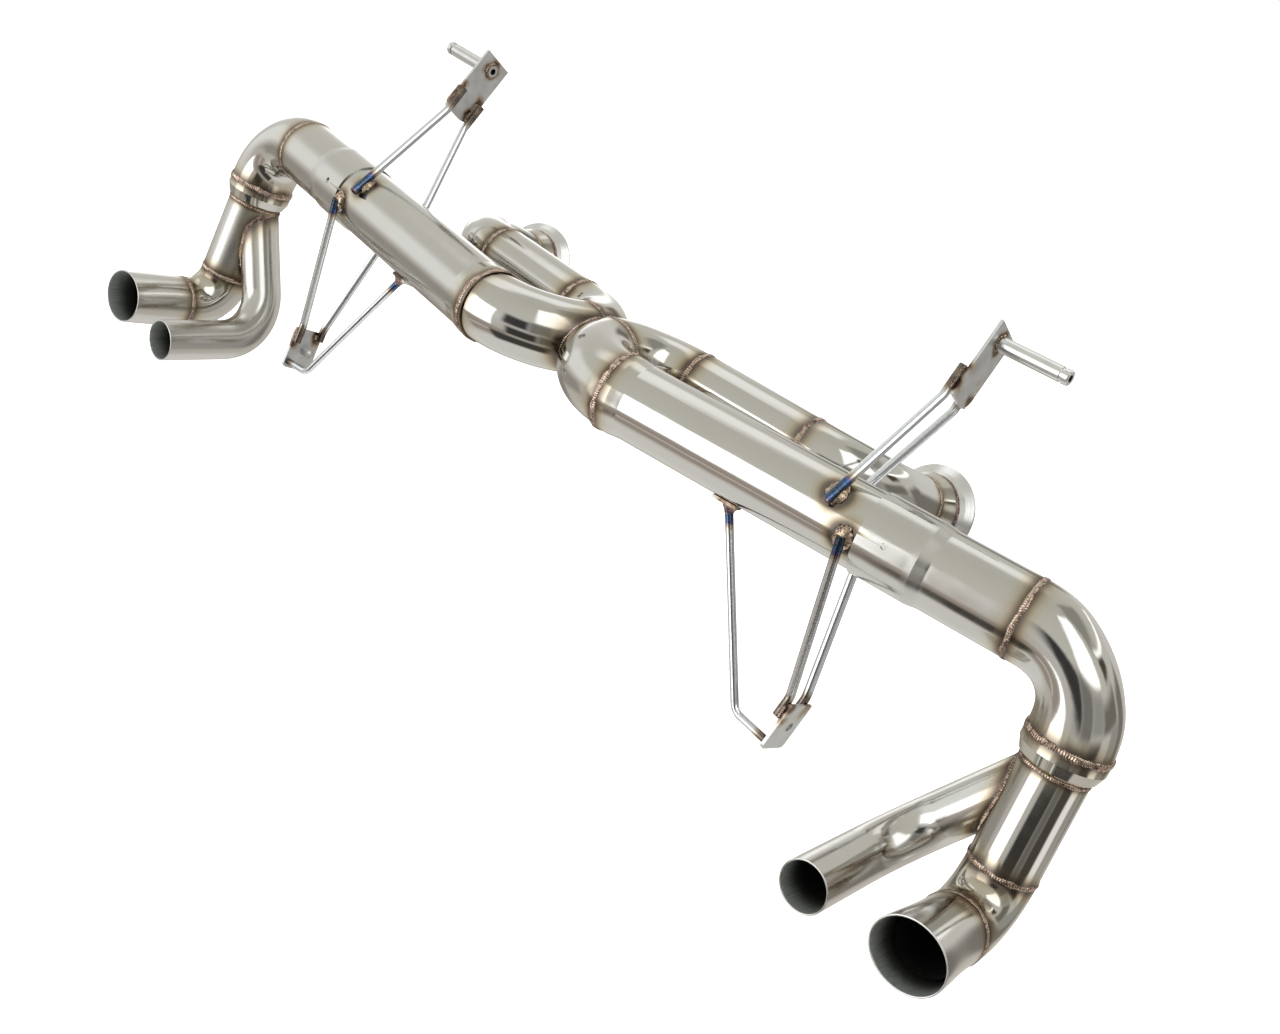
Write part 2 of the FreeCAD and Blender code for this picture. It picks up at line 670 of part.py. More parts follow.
    # inlets: straight tube, elbow, reducer and clamp flange
    reach = (INLET_OUTER - INLET_INNER).Length
    inlet = straight_tube("inlet_tube_" + s, here(INLET_INNER - INLET_DIR * 6), here(INLET_DIR),
                          reach + 6, "inlet_radius")
    inlet.Placement = frame_at(here(INLET_INNER - INLET_DIR * 6), here(INLET_DIR), Vector(0, 1, 0))
    slope = INLET_DIR.y / INLET_DIR.x
    base = 6.0 / INLET_DIR.x
    cut_region(inlet, "inlet_tube_trim_" + s, [(-60, -40), (60, -40), (60, base + 60 * slope), (-60, base - 60 * slope)])
    reducer_top = FLANGE_FACE - FORWARD_DIR * (D["flange_lip"] + D["flange_neck"])
    elbow_end = reducer_top - FORWARD_DIR * D["reducer_length"]
    bent_tube("inlet_elbow_" + s, here(INLET_OUTER), here(INLET_CORNER), here(elbow_end),
              "inlet_bend_radius", "inlet_radius")
    r_in = D["inlet_radius"]
    r_red = D["reducer_radius"]
    turned("inlet_reducer_" + s, here(elbow_end), here(FORWARD_DIR), [
        (r_in - T, 0.0),
        (r_in, 0.0),
        (r_in, 5.0),
        (r_red, 18.0),
        (r_red, D["reducer_length"]),
        (r_red - T, D["reducer_length"]),
        (r_red - T, 18.0),
        (r_in - T, 5.0),
    ], [
        ("Dims.inlet_radius - Dims.tube_wall", "0"),
        ("Dims.inlet_radius", "0"),
        ("Dims.inlet_radius", "Dims.reducer_length - 19"),
        ("Dims.reducer_radius", "Dims.reducer_length - 6"),
        ("Dims.reducer_radius", "Dims.reducer_length"),
        ("Dims.reducer_radius - Dims.tube_wall", "Dims.reducer_length"),
        ("Dims.reducer_radius - Dims.tube_wall", "Dims.reducer_length - 6"),
        ("Dims.inlet_radius - Dims.tube_wall", "Dims.reducer_length - 19"),
    ])
    total = D["flange_lip"] + D["flange_neck"]
    turned("clamp_flange_" + s, here(reducer_top), here(FORWARD_DIR), [
        (r_red - T, 0.0),
        (r_red, 0.0),
        (r_red, 3.0),
        (D["flange_groove_radius"], 6.0),
        (D["flange_radius"], total - 2.5),
        (D["flange_radius"], total),
        (r_red - T, total),
    ], [
        ("Dims.reducer_radius - Dims.tube_wall", "0"),
        ("Dims.reducer_radius", "0"),
        ("Dims.reducer_radius", "3"),
        ("Dims.flange_groove_radius", "6"),
        ("Dims.flange_radius", "Dims.flange_lip + Dims.flange_neck - 2.5"),
        ("Dims.flange_radius", "Dims.flange_lip + Dims.flange_neck"),
        ("Dims.reducer_radius - Dims.tube_wall", "Dims.flange_lip + Dims.flange_neck"),
    ])

    # upper hanger: plate, pin and two rods touching the main pipe
    plate("hanger_plate_" + s, here(HANGER_CENTRE), here(HANGER_LONG), here(HANGER_SHORT),
          "hanger_plate_long", "hanger_plate_short", "hanger_corner", [1],
          [(0.0, 26.0, "pin_spigot", D["pin_spigot"])])
    half_plate = D["plate_thickness"] / 2
    pin_out = HANGER_SHORT.cross(HANGER_LONG)
    if pin_out.x < 0:
        pin_out = pin_out * -1
    turned("hanger_pin_" + s, here(PIN_SEAT - pin_out * 4.5), here(pin_out), [
        (D["pin_bore"], 0.0),
        (D["pin_spigot"], 0.0),
        (D["pin_spigot"], D["pin_spigot_length"]),
        (D["pin_radius"], D["pin_spigot_length"]),
        (D["pin_radius"], D["pin_length"] - 9.0),
        (D["pin_groove_radius"], D["pin_length"] - 9.0),
        (D["pin_groove_radius"], D["pin_length"] - 6.0),
        (D["pin_radius"], D["pin_length"] - 6.0),
        (D["pin_radius"], D["pin_length"] - 0.8),
        (D["pin_radius"] - 0.8, D["pin_length"]),
        (D["pin_bore"], D["pin_length"]),
    ], [
        ("Dims.pin_bore", "0"),
        ("Dims.pin_spigot", "0"),
        ("Dims.pin_spigot", "Dims.pin_spigot_length"),
        ("Dims.pin_radius", "Dims.pin_spigot_length"),
        ("Dims.pin_radius", "Dims.pin_length - 6 - Dims.pin_groove_width"),
        ("Dims.pin_groove_radius", "Dims.pin_length - 6 - Dims.pin_groove_width"),
        ("Dims.pin_groove_radius", "Dims.pin_length - 6"),
        ("Dims.pin_radius", "Dims.pin_length - 6"),
        ("Dims.pin_radius", "Dims.pin_length - 0.8"),
        ("Dims.pin_radius - 0.8", "Dims.pin_length"),
        ("Dims.pin_bore", "Dims.pin_length"),
    ])
    rods = [
        ("hanger_rod_rear_", HANGER_CENTRE, HANGER_LONG, HANGER_SHORT, -20.5, -44.0, -12.0, (345.0, -60.0, 60.5)),
        ("hanger_rod_front_", HANGER_CENTRE, HANGER_LONG, HANGER_SHORT, 17.5, -44.0, -12.0, (317.5, 8.0, 14.0)),
        ("bracket_rod_rear_", BRACKET_CENTRE, BRACKET_LONG, BRACKET_SHORT, -17.5, 29.0, 8.0, (371.5, -58.0, 42.0)),
        ("bracket_rod_front_", BRACKET_CENTRE, BRACKET_LONG, BRACKET_SHORT, 14.5, 29.0, 16.0, (352.0, 22.5, 42.0)),
    ]
    for name, centre, long_axis, short_axis, short, turn_at, stop_at, pipe_end in rods:
        bend_point = along_plate(centre, long_axis, short_axis, 1, short, turn_at, ROD_GAP)
        finish = along_plate(centre, long_axis, short_axis, 1, short, stop_at, ROD_GAP)
        start = touching(bend_point, Vector(*pipe_end), CROSS_REAR, MAIN_DIR, TOUCH)
        bent_tube(name + s, here(start), here(bend_point), here(finish), "rod_bend_radius", "rod_radius", True)

    # lower bracket: plate, weld nut, stay rod and its tab under the pipe
    plate("bracket_plate_" + s, here(BRACKET_CENTRE), here(BRACKET_LONG), here(BRACKET_SHORT),
          "bracket_plate_long", "bracket_plate_short", "bracket_corner", [0, 1],
          [(5.0, 0.0, "bracket_hole", D["bracket_hole"])])
    bracket_out = BRACKET_SHORT.cross(BRACKET_LONG)
    if bracket_out.x < 0:
        bracket_out = bracket_out * -1
    nut = new_body("weld_nut_" + s)
    nut_outline = sketch_on(nut, "XY_Plane", "weld_nut_outline_" + s)
    hexagon = [(D["nut_radius"] * math.cos(math.radians(60 * i)), D["nut_radius"] * math.sin(math.radians(60 * i)))
               for i in range(6)]
    polygon(nut_outline, hexagon)
    circle(nut_outline, 0, 0, D["nut_bore"], "Dims.nut_bore")
    nut_pad = nut.newObject("PartDesign::Pad", "weld_nut_pad_" + s)
    nut_pad.Profile = nut_outline
    nut_pad.setExpression("Length", "Dims.nut_height")
    nut.Tip = nut_pad
    nut.Placement = frame_at(here(NUT_SEAT - bracket_out * half_plate), here(bracket_out * -1), Vector(0, 0, 1))

    under = Vector(0, -0.305, -0.952)
    under = (under - MAIN_DIR * under.dot(MAIN_DIR)).normalize()
    tab_along = (243.0 - CROSS_REAR.x) / MAIN_DIR.x
    tab_axis = CROSS_REAR + MAIN_DIR * tab_along
    tab_body = new_body("stay_tab_" + s)
    tab_outline = sketch_on(tab_body, "XY_Plane", "stay_tab_outline_" + s)
    half_l = D["tab_length"] / 2
    half_w = D["tab_width"] / 2
    polygon(tab_outline, [(-half_l, -half_w), (half_l, -half_w), (half_l, half_w), (-half_l, half_w)])
    tab_pad = tab_body.newObject("PartDesign::Pad", "stay_tab_pad_" + s)
    tab_pad.Profile = tab_outline
    tab_pad.setExpression("Length", "Dims.plate_thickness")
    tab_body.Tip = tab_pad
    tab_body.Placement = frame_at(here(tab_axis + under * (r_main + 0.02)), here(under), here(MAIN_DIR))
    stay_top = tab_axis + MAIN_DIR * 5 + under * (r_main + D["plate_thickness"] + 2.4)
    stay_end = along_plate(BRACKET_CENTRE, BRACKET_LONG, BRACKET_SHORT, 1, -14.0, -18.0, half_plate + 0.6)
    bent_tube("stay_rod_" + s, here(stay_top), here(STAY_CORNER), here(stay_end),
              "stay_bend_radius", "stay_radius", True)

# ---------------------------------------------------------------- recompute, check and write the files
doc.recompute()
for item in doc.Objects:
    if "Invalid" in item.State or "Error" in item.State:
        raise RuntimeError("object %s is %s" % (item.Label, item.State))
names = set()
for item in parts:
    if item.Shape.isNull() or not item.Shape.isValid():
        raise RuntimeError("bad shape " + item.Label)
    if item.Label in names:
        raise RuntimeError("twice " + item.Label)
    if len(item.Shape.Solids) != 1:
        raise RuntimeError("%s has %d solids" % (item.Label, len(item.Shape.Solids)))
    names.add(item.Label)
    item.Shape.exportStep("parts/%s.step" % item.Label)
print("parts written: %d" % len(parts))
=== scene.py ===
import math
from collections import namedtuple

import bpy
from mathutils import Matrix, Vector


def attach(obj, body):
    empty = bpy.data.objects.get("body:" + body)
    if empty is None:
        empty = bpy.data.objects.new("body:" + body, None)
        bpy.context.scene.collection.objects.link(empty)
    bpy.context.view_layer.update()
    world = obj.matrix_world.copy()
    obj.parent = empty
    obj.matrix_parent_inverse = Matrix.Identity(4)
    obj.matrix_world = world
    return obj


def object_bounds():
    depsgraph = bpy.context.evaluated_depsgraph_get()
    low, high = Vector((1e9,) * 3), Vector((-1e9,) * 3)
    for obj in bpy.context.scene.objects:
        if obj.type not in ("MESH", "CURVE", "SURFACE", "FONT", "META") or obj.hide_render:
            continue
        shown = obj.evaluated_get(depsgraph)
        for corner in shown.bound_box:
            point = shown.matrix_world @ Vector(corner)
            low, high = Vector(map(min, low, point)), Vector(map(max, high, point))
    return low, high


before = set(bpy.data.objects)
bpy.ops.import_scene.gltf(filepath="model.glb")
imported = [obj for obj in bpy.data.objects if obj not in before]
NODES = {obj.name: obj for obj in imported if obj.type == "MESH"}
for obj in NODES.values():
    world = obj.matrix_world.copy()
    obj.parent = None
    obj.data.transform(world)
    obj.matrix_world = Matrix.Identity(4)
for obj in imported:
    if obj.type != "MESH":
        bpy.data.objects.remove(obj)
CAD_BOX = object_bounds()
MM = 0.001

# ------------------------------------------------------------------ stations of the object, mm
# The right-hand side; the left-hand side is its mirror image in x = 0.
SHIFT = Vector((0, -36.5, -0.5))
TILT = math.radians(2.5)
CROSS_NORMAL = Vector((0, math.sin(TILT), math.cos(TILT)))
CROSS_FORWARD = Vector((0, math.cos(TILT), -math.sin(TILT)))
ACROSS = Vector((1, 0, 0))
MAIN_R, INLET_R, MERGE_R, BRANCH_R, WALL = 38.1, 31.75, 31.75, 24.2, 1.6
ROD_R, PIN_R, PLATE_T = 4.5, 7.5, 3.2


def from_cross(x, y):
    """A point of the tilted plane that holds the crossover and the inlet tubes."""
    return Vector((x, y * math.cos(TILT), 36.0 - y * math.sin(TILT)))


CROSS_REAR = from_cross(96.0, -62.6)
SWEEP = math.radians(9.4)
MAIN_DIR = Vector((math.cos(SWEEP), math.sin(SWEEP), 0))
ELBOW_WELD = CROSS_REAR + MAIN_DIR * 433.5
ELBOW_CORNER = CROSS_REAR + MAIN_DIR * 510.8
TIP_BEND_WELD = Vector((610.0, -17.5, -154.3))
DOWN_DIR = (TIP_BEND_WELD - ELBOW_CORNER).normalized()
COLLAR_TOP = ELBOW_CORNER + DOWN_DIR * 73.0
MERGE_TOP = COLLAR_TOP + DOWN_DIR * 26.0
TIP_MOUTH = Vector((614.4, -156.5, -183.5))
TIP_CORNER = Vector((612.6, -28.0, -201.5))
TIP_DIR = (TIP_MOUTH - TIP_CORNER).normalized()
TIP_WELD = TIP_CORNER + TIP_DIR * 50.0
BRANCH_START = ELBOW_CORNER + DOWN_DIR * 103.5 + Vector((-3.0, 6.0, 0))
BRANCH_CORNER = Vector((512.5, -17.0, -203.5))
BRANCH_MOUTH = Vector((513.6, -161.5, -194.5))
BRANCH_DIR = (BRANCH_MOUTH - BRANCH_CORNER).normalized()
INLET_INNER = from_cross(90.5, 64.0)
INLET_OUTER = from_cross(231.0, 76.0)
INLET_DIR = (INLET_OUTER - INLET_INNER).normalized()
INLET_CORNER = INLET_INNER + INLET_DIR * 206.6
FLANGE_FACE = Vector((313.5, 217.5, -17.5))
FORWARD_DIR = (FLANGE_FACE - INLET_CORNER).normalized()
FLANGE_WELD = FLANGE_FACE - FORWARD_DIR * 14.0
INLET_END = FLANGE_FACE - FORWARD_DIR * 38.0
HANGER_CENTRE = Vector((358.4, 94.3, 182.9))
HANGER_LONG = Vector((-0.03, 0.537, 0.843)).normalized()
HANGER_SHORT = Vector((0, 0.843, -0.537)).normalized()
HANGER_OUT = HANGER_SHORT.cross(HANGER_LONG).normalized()
PIN_SEAT = HANGER_CENTRE + HANGER_LONG * 26.0
BRACKET_CENTRE = Vector((388.6, -52.0, -154.5))
BRACKET_LONG = Vector((0.10, 0.30, 0.95)).normalized()
BRACKET_SHORT = Vector((0, 0.954, -0.30)).normalized()
BRACKET_OUT = BRACKET_SHORT.cross(BRACKET_LONG).normalized()
NUT_SEAT = BRACKET_CENTRE + BRACKET_SHORT * 5.0
STAY_CORNER = Vector((346.3, -73.6, -161.5))
STAY_END = BRACKET_CENTRE - BRACKET_SHORT * 14.0 - BRACKET_LONG * 18.0 - BRACKET_OUT * 2.2
TAB_DOWN = Vector((0, -0.305, -0.952))
TAB_DOWN = (TAB_DOWN - MAIN_DIR * TAB_DOWN.dot(MAIN_DIR)).normalized()
TAB_ALONG = 149.0
TAB_FOOT = CROSS_REAR + MAIN_DIR * (TAB_ALONG + 5.0) + TAB_DOWN * (MAIN_R + PLATE_T)
STAY_TOP = TAB_FOOT + TAB_DOWN * 2.4
SOCKET_END = CROSS_REAR + MAIN_DIR * 343.0
MAIN_BODY = "centre_section"
SIDES = (("right", 1), ("left", -1))


def place(vector, side):
    """A station of the chosen side in the row frame, in metres."""
    return (Vector((vector.x * side, vector.y, vector.z)) + SHIFT) * MM


def turn(vector, side):
    """A direction of the chosen side."""
    return Vector((vector.x * side, vector.y, vector.z))


# ------------------------------------------------------------------ shader building blocks
def new_node(tree, kind, values=None, **settings):
    """Add a shader node; values are numbers or the sockets that feed its inputs."""
    node = tree.nodes.new("ShaderNode" + kind)
    for key, value in settings.items():
        setattr(node, key, value)
    for key, value in (values or {}).items():
        if isinstance(value, bpy.types.NodeSocket):
            tree.links.new(value, node.inputs[key])
        else:
            node.inputs[key].default_value = value
    return node


def calc(tree, operation, a, b=0.0, clamp=False):
    node = new_node(tree, "Math", {0: a, 1: b}, operation=operation, use_clamp=clamp)
    return node.outputs[0]


def ramp(tree, value, stops):
    """A colour ramp; stops are (position, colour) pairs, a colour may be one grey number."""
    node = new_node(tree, "ValToRGB", {0: value})
    elements = node.color_ramp.elements
    while len(elements) < len(stops):
        elements.new(0.5)
    for element, (position, colour) in zip(elements, stops):
        element.position = position
        grey = isinstance(colour, (int, float))
        element.color = (colour, colour, colour, 1) if grey else (*colour, 1)
    return node.outputs[0]


def mix(tree, factor, a, b, blend="MIX"):
    node = new_node(tree, "Mix", data_type="RGBA", blend_type=blend)
    for key, value in ((0, factor), (6, a), (7, b)):
        if isinstance(value, bpy.types.NodeSocket):
            tree.links.new(value, node.inputs[key])
        elif key == 0:
            node.inputs[key].default_value = value
        else:
            node.inputs[key].default_value = (*value, 1)
    return node.outputs[2]


def noise(tree, position, scale, detail=3.0, stretch=None, distortion=0.0):
    """Noise in object space; stretch scales the position along the three axes first."""
    if stretch:
        position = new_node(tree, "Mapping", {"Vector": position, "Scale": stretch}).outputs[0]
    node = new_node(tree, "TexNoise", {"Vector": position, "Scale": scale, "Detail": detail,
                                       "Distortion": distortion})
    return node.outputs["Fac"]


def material(name):
    """An empty metal material and its tree, shader and object-space position."""
    result = bpy.data.materials.new(name)
    result.use_nodes = True
    tree = result.node_tree
    tree.nodes.clear()
    output = tree.nodes.new("ShaderNodeOutputMaterial")
    shader = new_node(tree, "BsdfPrincipled", {"Metallic": 1.0})
    tree.links.new(shader.outputs[0], output.inputs[0])
    position = tree.nodes.new("ShaderNodeTexCoord").outputs["Object"]
    return result, tree, shader, position


def feed(tree, shader, **sockets):
    for key, value in sockets.items():
        tree.links.new(value, shader.inputs[key.replace("_", " ")])


def bump(tree, height, strength, distance):
    node = new_node(tree, "Bump", {"Height": height, "Strength": strength, "Distance": distance})
    return node.outputs[0]


# ------------------------------------------------------------------ distance from the hot places
def plane_distance(tree, position, point, normal):
    offset = new_node(tree, "VectorMath", {0: position, 1: point}, operation="SUBTRACT").outputs[0]
    dot = new_node(tree, "VectorMath", {0: offset, 1: normal}, operation="DOT_PRODUCT").outputs["Value"]
    return calc(tree, "ABSOLUTE", dot)


def point_distance(tree, position, point, radius):
    length = new_node(tree, "VectorMath", {0: position, 1: point}, operation="DISTANCE").outputs["Value"]
    return calc(tree, "MAXIMUM", calc(tree, "SUBTRACT", length, radius), 0.0)


def tube_distance(tree, position, point, axis, radius):
    offset = new_node(tree, "VectorMath", {0: position, 1: point}, operation="SUBTRACT").outputs[0]
    swept = new_node(tree, "VectorMath", {0: offset, 1: axis}, operation="CROSS_PRODUCT").outputs[0]
    length = new_node(tree, "VectorMath", {0: swept}, operation="LENGTH").outputs["Value"]
    return calc(tree, "ABSOLUTE", calc(tree, "SUBTRACT", length, radius))


def nearest_spot(tree, position, spots):
    """Distance to the nearest of some (point, radius) balls."""
    nearest = None
    for point, radius in spots:
        distance = point_distance(tree, position, point, radius)
        nearest = distance if nearest is None else calc(tree, "MINIMUM", nearest, distance)
    return nearest


DISTANCES = {"plane": plane_distance, "point": point_distance, "tube": tube_distance}
STEEL = (0.610, 0.603, 0.578)
HAZE_STOPS = (
    (0.0, (0.085, 0.062, 0.048)),
    (0.15, (0.115, 0.085, 0.062)),
    (0.24, (0.25, 0.192, 0.130)),
    (0.33, (0.40, 0.338, 0.240)),
    (0.46, (0.54, 0.497, 0.400)),
    (0.68, (0.600, 0.580, 0.525)),
    (1.0, STEEL),
)
HAZE_REACH = 0.026


def heat_mask(tree, position, sources):
    """Distance from the nearest weld, in units of the haze's reach, with a ragged edge."""
    nearest = None
    for kind, spread, *geometry in sources:
        distance = DISTANCES[kind](tree, position, *geometry)
        distance = calc(tree, "DIVIDE", distance, HAZE_REACH * spread)
        nearest = distance if nearest is None else calc(tree, "MINIMUM", nearest, distance)
    ragged = noise(tree, position, 42.0, 4.0)
    ragged = calc(tree, "MULTIPLY", calc(tree, "SUBTRACT", ragged, 0.5), 0.34)
    grown = calc(tree, "MULTIPLY", nearest, calc(tree, "ADD", 1.0, ragged))
    return calc(tree, "ADD", grown, calc(tree, "MULTIPLY", ragged, 0.12), clamp=True)


def inside_mask(tree, position, mouth, inward, reach):
    """One on the inner wall of a tube near its mouth; also the depth below the mouth."""
    offset = new_node(tree, "VectorMath", {0: position, 1: mouth}, operation="SUBTRACT").outputs[0]
    depth = new_node(tree, "VectorMath", {0: offset, 1: inward}, operation="DOT_PRODUCT").outputs["Value"]
    on_axis = new_node(tree, "VectorMath", {0: inward, "Scale": depth}, operation="SCALE").outputs[0]
    radial = new_node(tree, "VectorMath", {0: offset, 1: on_axis}, operation="SUBTRACT").outputs[0]
    facing = tree.nodes.new("ShaderNodeTexCoord").outputs["Normal"]
    toward = new_node(tree, "VectorMath", {0: radial, 1: facing}, operation="DOT_PRODUCT").outputs["Value"]
    inner = calc(tree, "LESS_THAN", toward, -0.006)
    near = calc(tree, "LESS_THAN", depth, reach)
    return calc(tree, "MULTIPLY", inner, near), depth


def polished_tube(name, sources, along, satin=0.0, mouth=None, worked=None):
    """Mirror-polished tube: faint draw lines along it, a soft waver and heat haze at the welds.

    A mouth is a point, a direction inward and a reach, where the inner wall gets painted shade: grey at the
    mouth, near-black deeper in.
    A worked zone is a point and a normal, where the tube was expanded and is less glossy.
    """
    result, tree, shader, position = material(name)
    heat = heat_mask(tree, position, sources)
    colour = ramp(tree, heat, HAZE_STOPS)
    clouds = noise(tree, position, 14.0, 4.0)
    colour = mix(tree, ramp(tree, clouds, ((0.35, 0.0), (0.75, 0.30))), colour, (0.56, 0.53, 0.485))
    stretch = tuple(0.03 if abs(component) > 0.75 else 1.0 for component in along)
    lines = noise(tree, position, 900.0, 2.0, stretch)
    colour = mix(tree, calc(tree, "MULTIPLY", lines, 0.10), colour, (0.36, 0.34, 0.31))
    smear = noise(tree, position, 60.0, 5.0)
    rough = calc(tree, "ADD", ramp(tree, smear, ((0.3, 0.05 + satin), (0.75, 0.13 + satin))),
                 ramp(tree, heat, ((0.0, 0.22), (0.25, 0.10), (0.6, 0.0))))
    if worked:
        drawn = calc(tree, "DIVIDE", plane_distance(tree, position, *worked), 0.012)
        rough = calc(tree, "ADD", rough, ramp(tree, drawn, ((0.30, 0.15), (1.0, 0.0))))
    if mouth:
        within, depth = inside_mask(tree, position, *mouth)
        brushed = noise(tree, position, 800.0, 3.0, (1.0, 0.04, 0.7))
        ragged = calc(tree, "ADD", calc(tree, "DIVIDE", depth, 0.06), calc(tree, "MULTIPLY", brushed, 0.12))
        # painted shade: the inner wall darkens with depth from the mouth, grey to near-black, with brushed
        # grain
        painted_depth_shade = ramp(tree, ragged, ((0.0, (0.40, 0.435, 0.41)), (0.25, (0.27, 0.29, 0.275)),
                                   (0.45, (0.06, 0.06, 0.055)), (0.62, (0.008, 0.008, 0.007))))
        painted_depth_shade = mix(tree, calc(tree, "MULTIPLY", brushed, 0.6), painted_depth_shade, (0.05, 0.052, 0.05))
        colour = mix(tree, within, colour, painted_depth_shade)
        rough = mix(tree, within, rough, (0.45, 0.45, 0.45))
        feed(tree, shader, Metallic=calc(tree, "SUBTRACT", 1.0, calc(tree, "MULTIPLY", within, 0.6)))
    waver = noise(tree, position, 26.0, 1.0)
    surface = bump(tree, waver, 0.22, 0.0012)
    feed(tree, shader, Base_Color=colour, Roughness=rough, Normal=surface)
    return result


def bright_rod(name, contact, ends):
    """Drawn rod with blue heat colours where it is welded to the pipe and dark ends at the plate."""
    result, tree, shader, position = material(name)
    nearest = point_distance(tree, position, contact, 0.006)
    blue = ramp(tree, calc(tree, "DIVIDE", nearest, 0.03), (
        (0.0, (0.05, 0.085, 0.15)), (0.16, (0.045, 0.11, 0.26)), (0.27, (0.12, 0.11, 0.22)),
        (0.34, (0.36, 0.27, 0.22)), (0.48, (0.70, 0.66, 0.58)), (0.70, (0.80, 0.835, 0.87))))
    dark = nearest_spot(tree, position, [(end, 0.004) for end in ends])
    scorch = ramp(tree, calc(tree, "DIVIDE", dark, 0.020), (
        (0.0, (0.16, 0.12, 0.10)), (0.25, (0.34, 0.26, 0.19)),
        (0.42, (0.72, 0.64, 0.54)), (0.60, (1.0, 1.0, 1.0))))
    grain = noise(tree, position, 500.0, 3.0)
    colour = mix(tree, 1.0, blue, scorch, "MULTIPLY")
    colour = mix(tree, ramp(tree, grain, ((0.45, 0.0), (0.75, 0.35))), colour, (0.45, 0.45, 0.45))
    rough = ramp(tree, grain, ((0.3, 0.07), (0.8, 0.20)))
    feed(tree, shader, Base_Color=colour, Roughness=rough, Normal=bump(tree, grain, 0.25, 0.0004))
    return result


def satin_plate(name, scorched):
    """Sheared and deburred plate: fine grain, light scratches and stains beside the welds."""
    result, tree, shader, position = material(name)
    grain = noise(tree, position, 700.0, 4.0)
    cloud = noise(tree, position, 70.0, 4.0)
    colour = ramp(tree, cloud, ((0.3, (0.62, 0.635, 0.645)), (0.7, (0.78, 0.79, 0.80))))
    nearest = nearest_spot(tree, position, scorched)
    ragged = calc(tree, "ADD", calc(tree, "DIVIDE", nearest, 0.016),
                  calc(tree, "MULTIPLY", calc(tree, "SUBTRACT", cloud, 0.5), 0.9))
    stain = ramp(tree, ragged, ((0.0, (0.20, 0.14, 0.10)), (0.10, (0.55, 0.40, 0.28)),
                                (0.22, (0.88, 0.80, 0.68)), (0.40, (1.0, 1.0, 1.0))))
    colour = mix(tree, 1.0, colour, stain, "MULTIPLY")
    rough = ramp(tree, cloud, ((0.3, 0.34), (0.75, 0.50)))
    feed(tree, shader, Base_Color=colour, Roughness=rough, Normal=bump(tree, grain, 0.30, 0.0003))
    return result


def turned_metal(name, centre, axis):
    """Lathe-turned metal: fine rings about its axis."""
    result, tree, shader, position = material(name)
    offset = new_node(tree, "VectorMath", {0: position, 1: centre}, operation="SUBTRACT").outputs[0]
    depth = new_node(tree, "VectorMath", {0: offset, 1: axis}, operation="DOT_PRODUCT").outputs["Value"]
    swept = new_node(tree, "VectorMath", {0: offset, 1: axis}, operation="CROSS_PRODUCT").outputs[0]
    radius = new_node(tree, "VectorMath", {0: swept}, operation="LENGTH").outputs["Value"]
    spot = new_node(tree, "CombineXYZ", {0: depth, 1: radius}).outputs[0]
    rings = noise(tree, spot, 2400.0, 2.0)
    cloud = noise(tree, position, 60.0, 3.0)
    colour = ramp(tree, cloud, ((0.3, (0.70, 0.705, 0.70)), (0.7, (0.80, 0.80, 0.79))))
    colour = mix(tree, calc(tree, "MULTIPLY", rings, 0.30), colour, (0.46, 0.46, 0.45))
    rough = ramp(tree, rings, ((0.3, 0.14), (0.7, 0.26)))
    feed(tree, shader, Base_Color=colour, Roughness=rough, Normal=bump(tree, rings, 0.18, 0.0002))
    return result


def weld_metal(name, palette, scale=110.0):
    """Weld beads: oxide colours that drift along the bead over bright ripples."""
    result, tree, shader, position = material(name)
    drift = noise(tree, position, scale, 3.0, distortion=0.4)
    fine = noise(tree, position, 900.0, 3.0)
    colour = ramp(tree, drift, palette)
    colour = mix(tree, ramp(tree, fine, ((0.45, 0.0), (0.66, 0.65))), colour, (0.78, 0.64, 0.55))
    pits = ramp(tree, noise(tree, position, 420.0, 2.0), ((0.36, 0.75), (0.50, 0.0)))
    colour = mix(tree, pits, colour, (0.09, 0.06, 0.045))
    rough = ramp(tree, fine, ((0.3, 0.14), (0.7, 0.32)))
    feed(tree, shader, Base_Color=colour, Roughness=rough, Normal=bump(tree, fine, 0.35, 0.0004))
    return result


def painted_bore_shade(name):
    """Painted shade: a near-black, rough finish for deep inside a tube."""
    result, tree, shader, position = material(name)
    shader.inputs["Metallic"].default_value = 0.2
    shade_mottle = noise(tree, position, 260.0, 4.0)
    colour = ramp(tree, shade_mottle, ((0.3, (0.004, 0.004, 0.004)), (0.7, (0.014, 0.013, 0.012))))
    rough = ramp(tree, shade_mottle, ((0.3, 0.65), (0.7, 0.9)))
    feed(tree, shader, Base_Color=colour, Roughness=rough, Normal=bump(tree, shade_mottle, 0.3, 0.0006))
    return result


COPPER = ((0.30, (0.12, 0.085, 0.065)), (0.42, (0.38, 0.26, 0.195)), (0.54, (0.66, 0.50, 0.41)),
          (0.68, (0.47, 0.41, 0.27)))
PURPLE = ((0.25, (0.06, 0.045, 0.07)), (0.45, (0.18, 0.12, 0.19)), (0.58, (0.33, 0.14, 0.12)),
          (0.72, (0.50, 0.32, 0.16)))
DARK = ((0.25, (0.06, 0.055, 0.05)), (0.45, (0.17, 0.13, 0.10)), (0.60, (0.40, 0.29, 0.22)),
        (0.75, (0.30, 0.30, 0.31)))
BOSS = ((0.28, (0.07, 0.06, 0.075)), (0.42, (0.30, 0.20, 0.15)), (0.55, (0.58, 0.42, 0.31)),
        (0.66, (0.46, 0.42, 0.20)), (0.80, (0.22, 0.30, 0.34)))
WELD = weld_metal("weld_copper", COPPER)
WELD_PURPLE = weld_metal("weld_purple", PURPLE)
WELD_DARK = weld_metal("weld_dark", DARK, 160.0)
WELD_BOSS = weld_metal("weld_boss_metal", BOSS, 150.0)
# painted shade for deep inside the tubes
BORE_SHADE_FINISH = painted_bore_shade("painted_bore_shade")


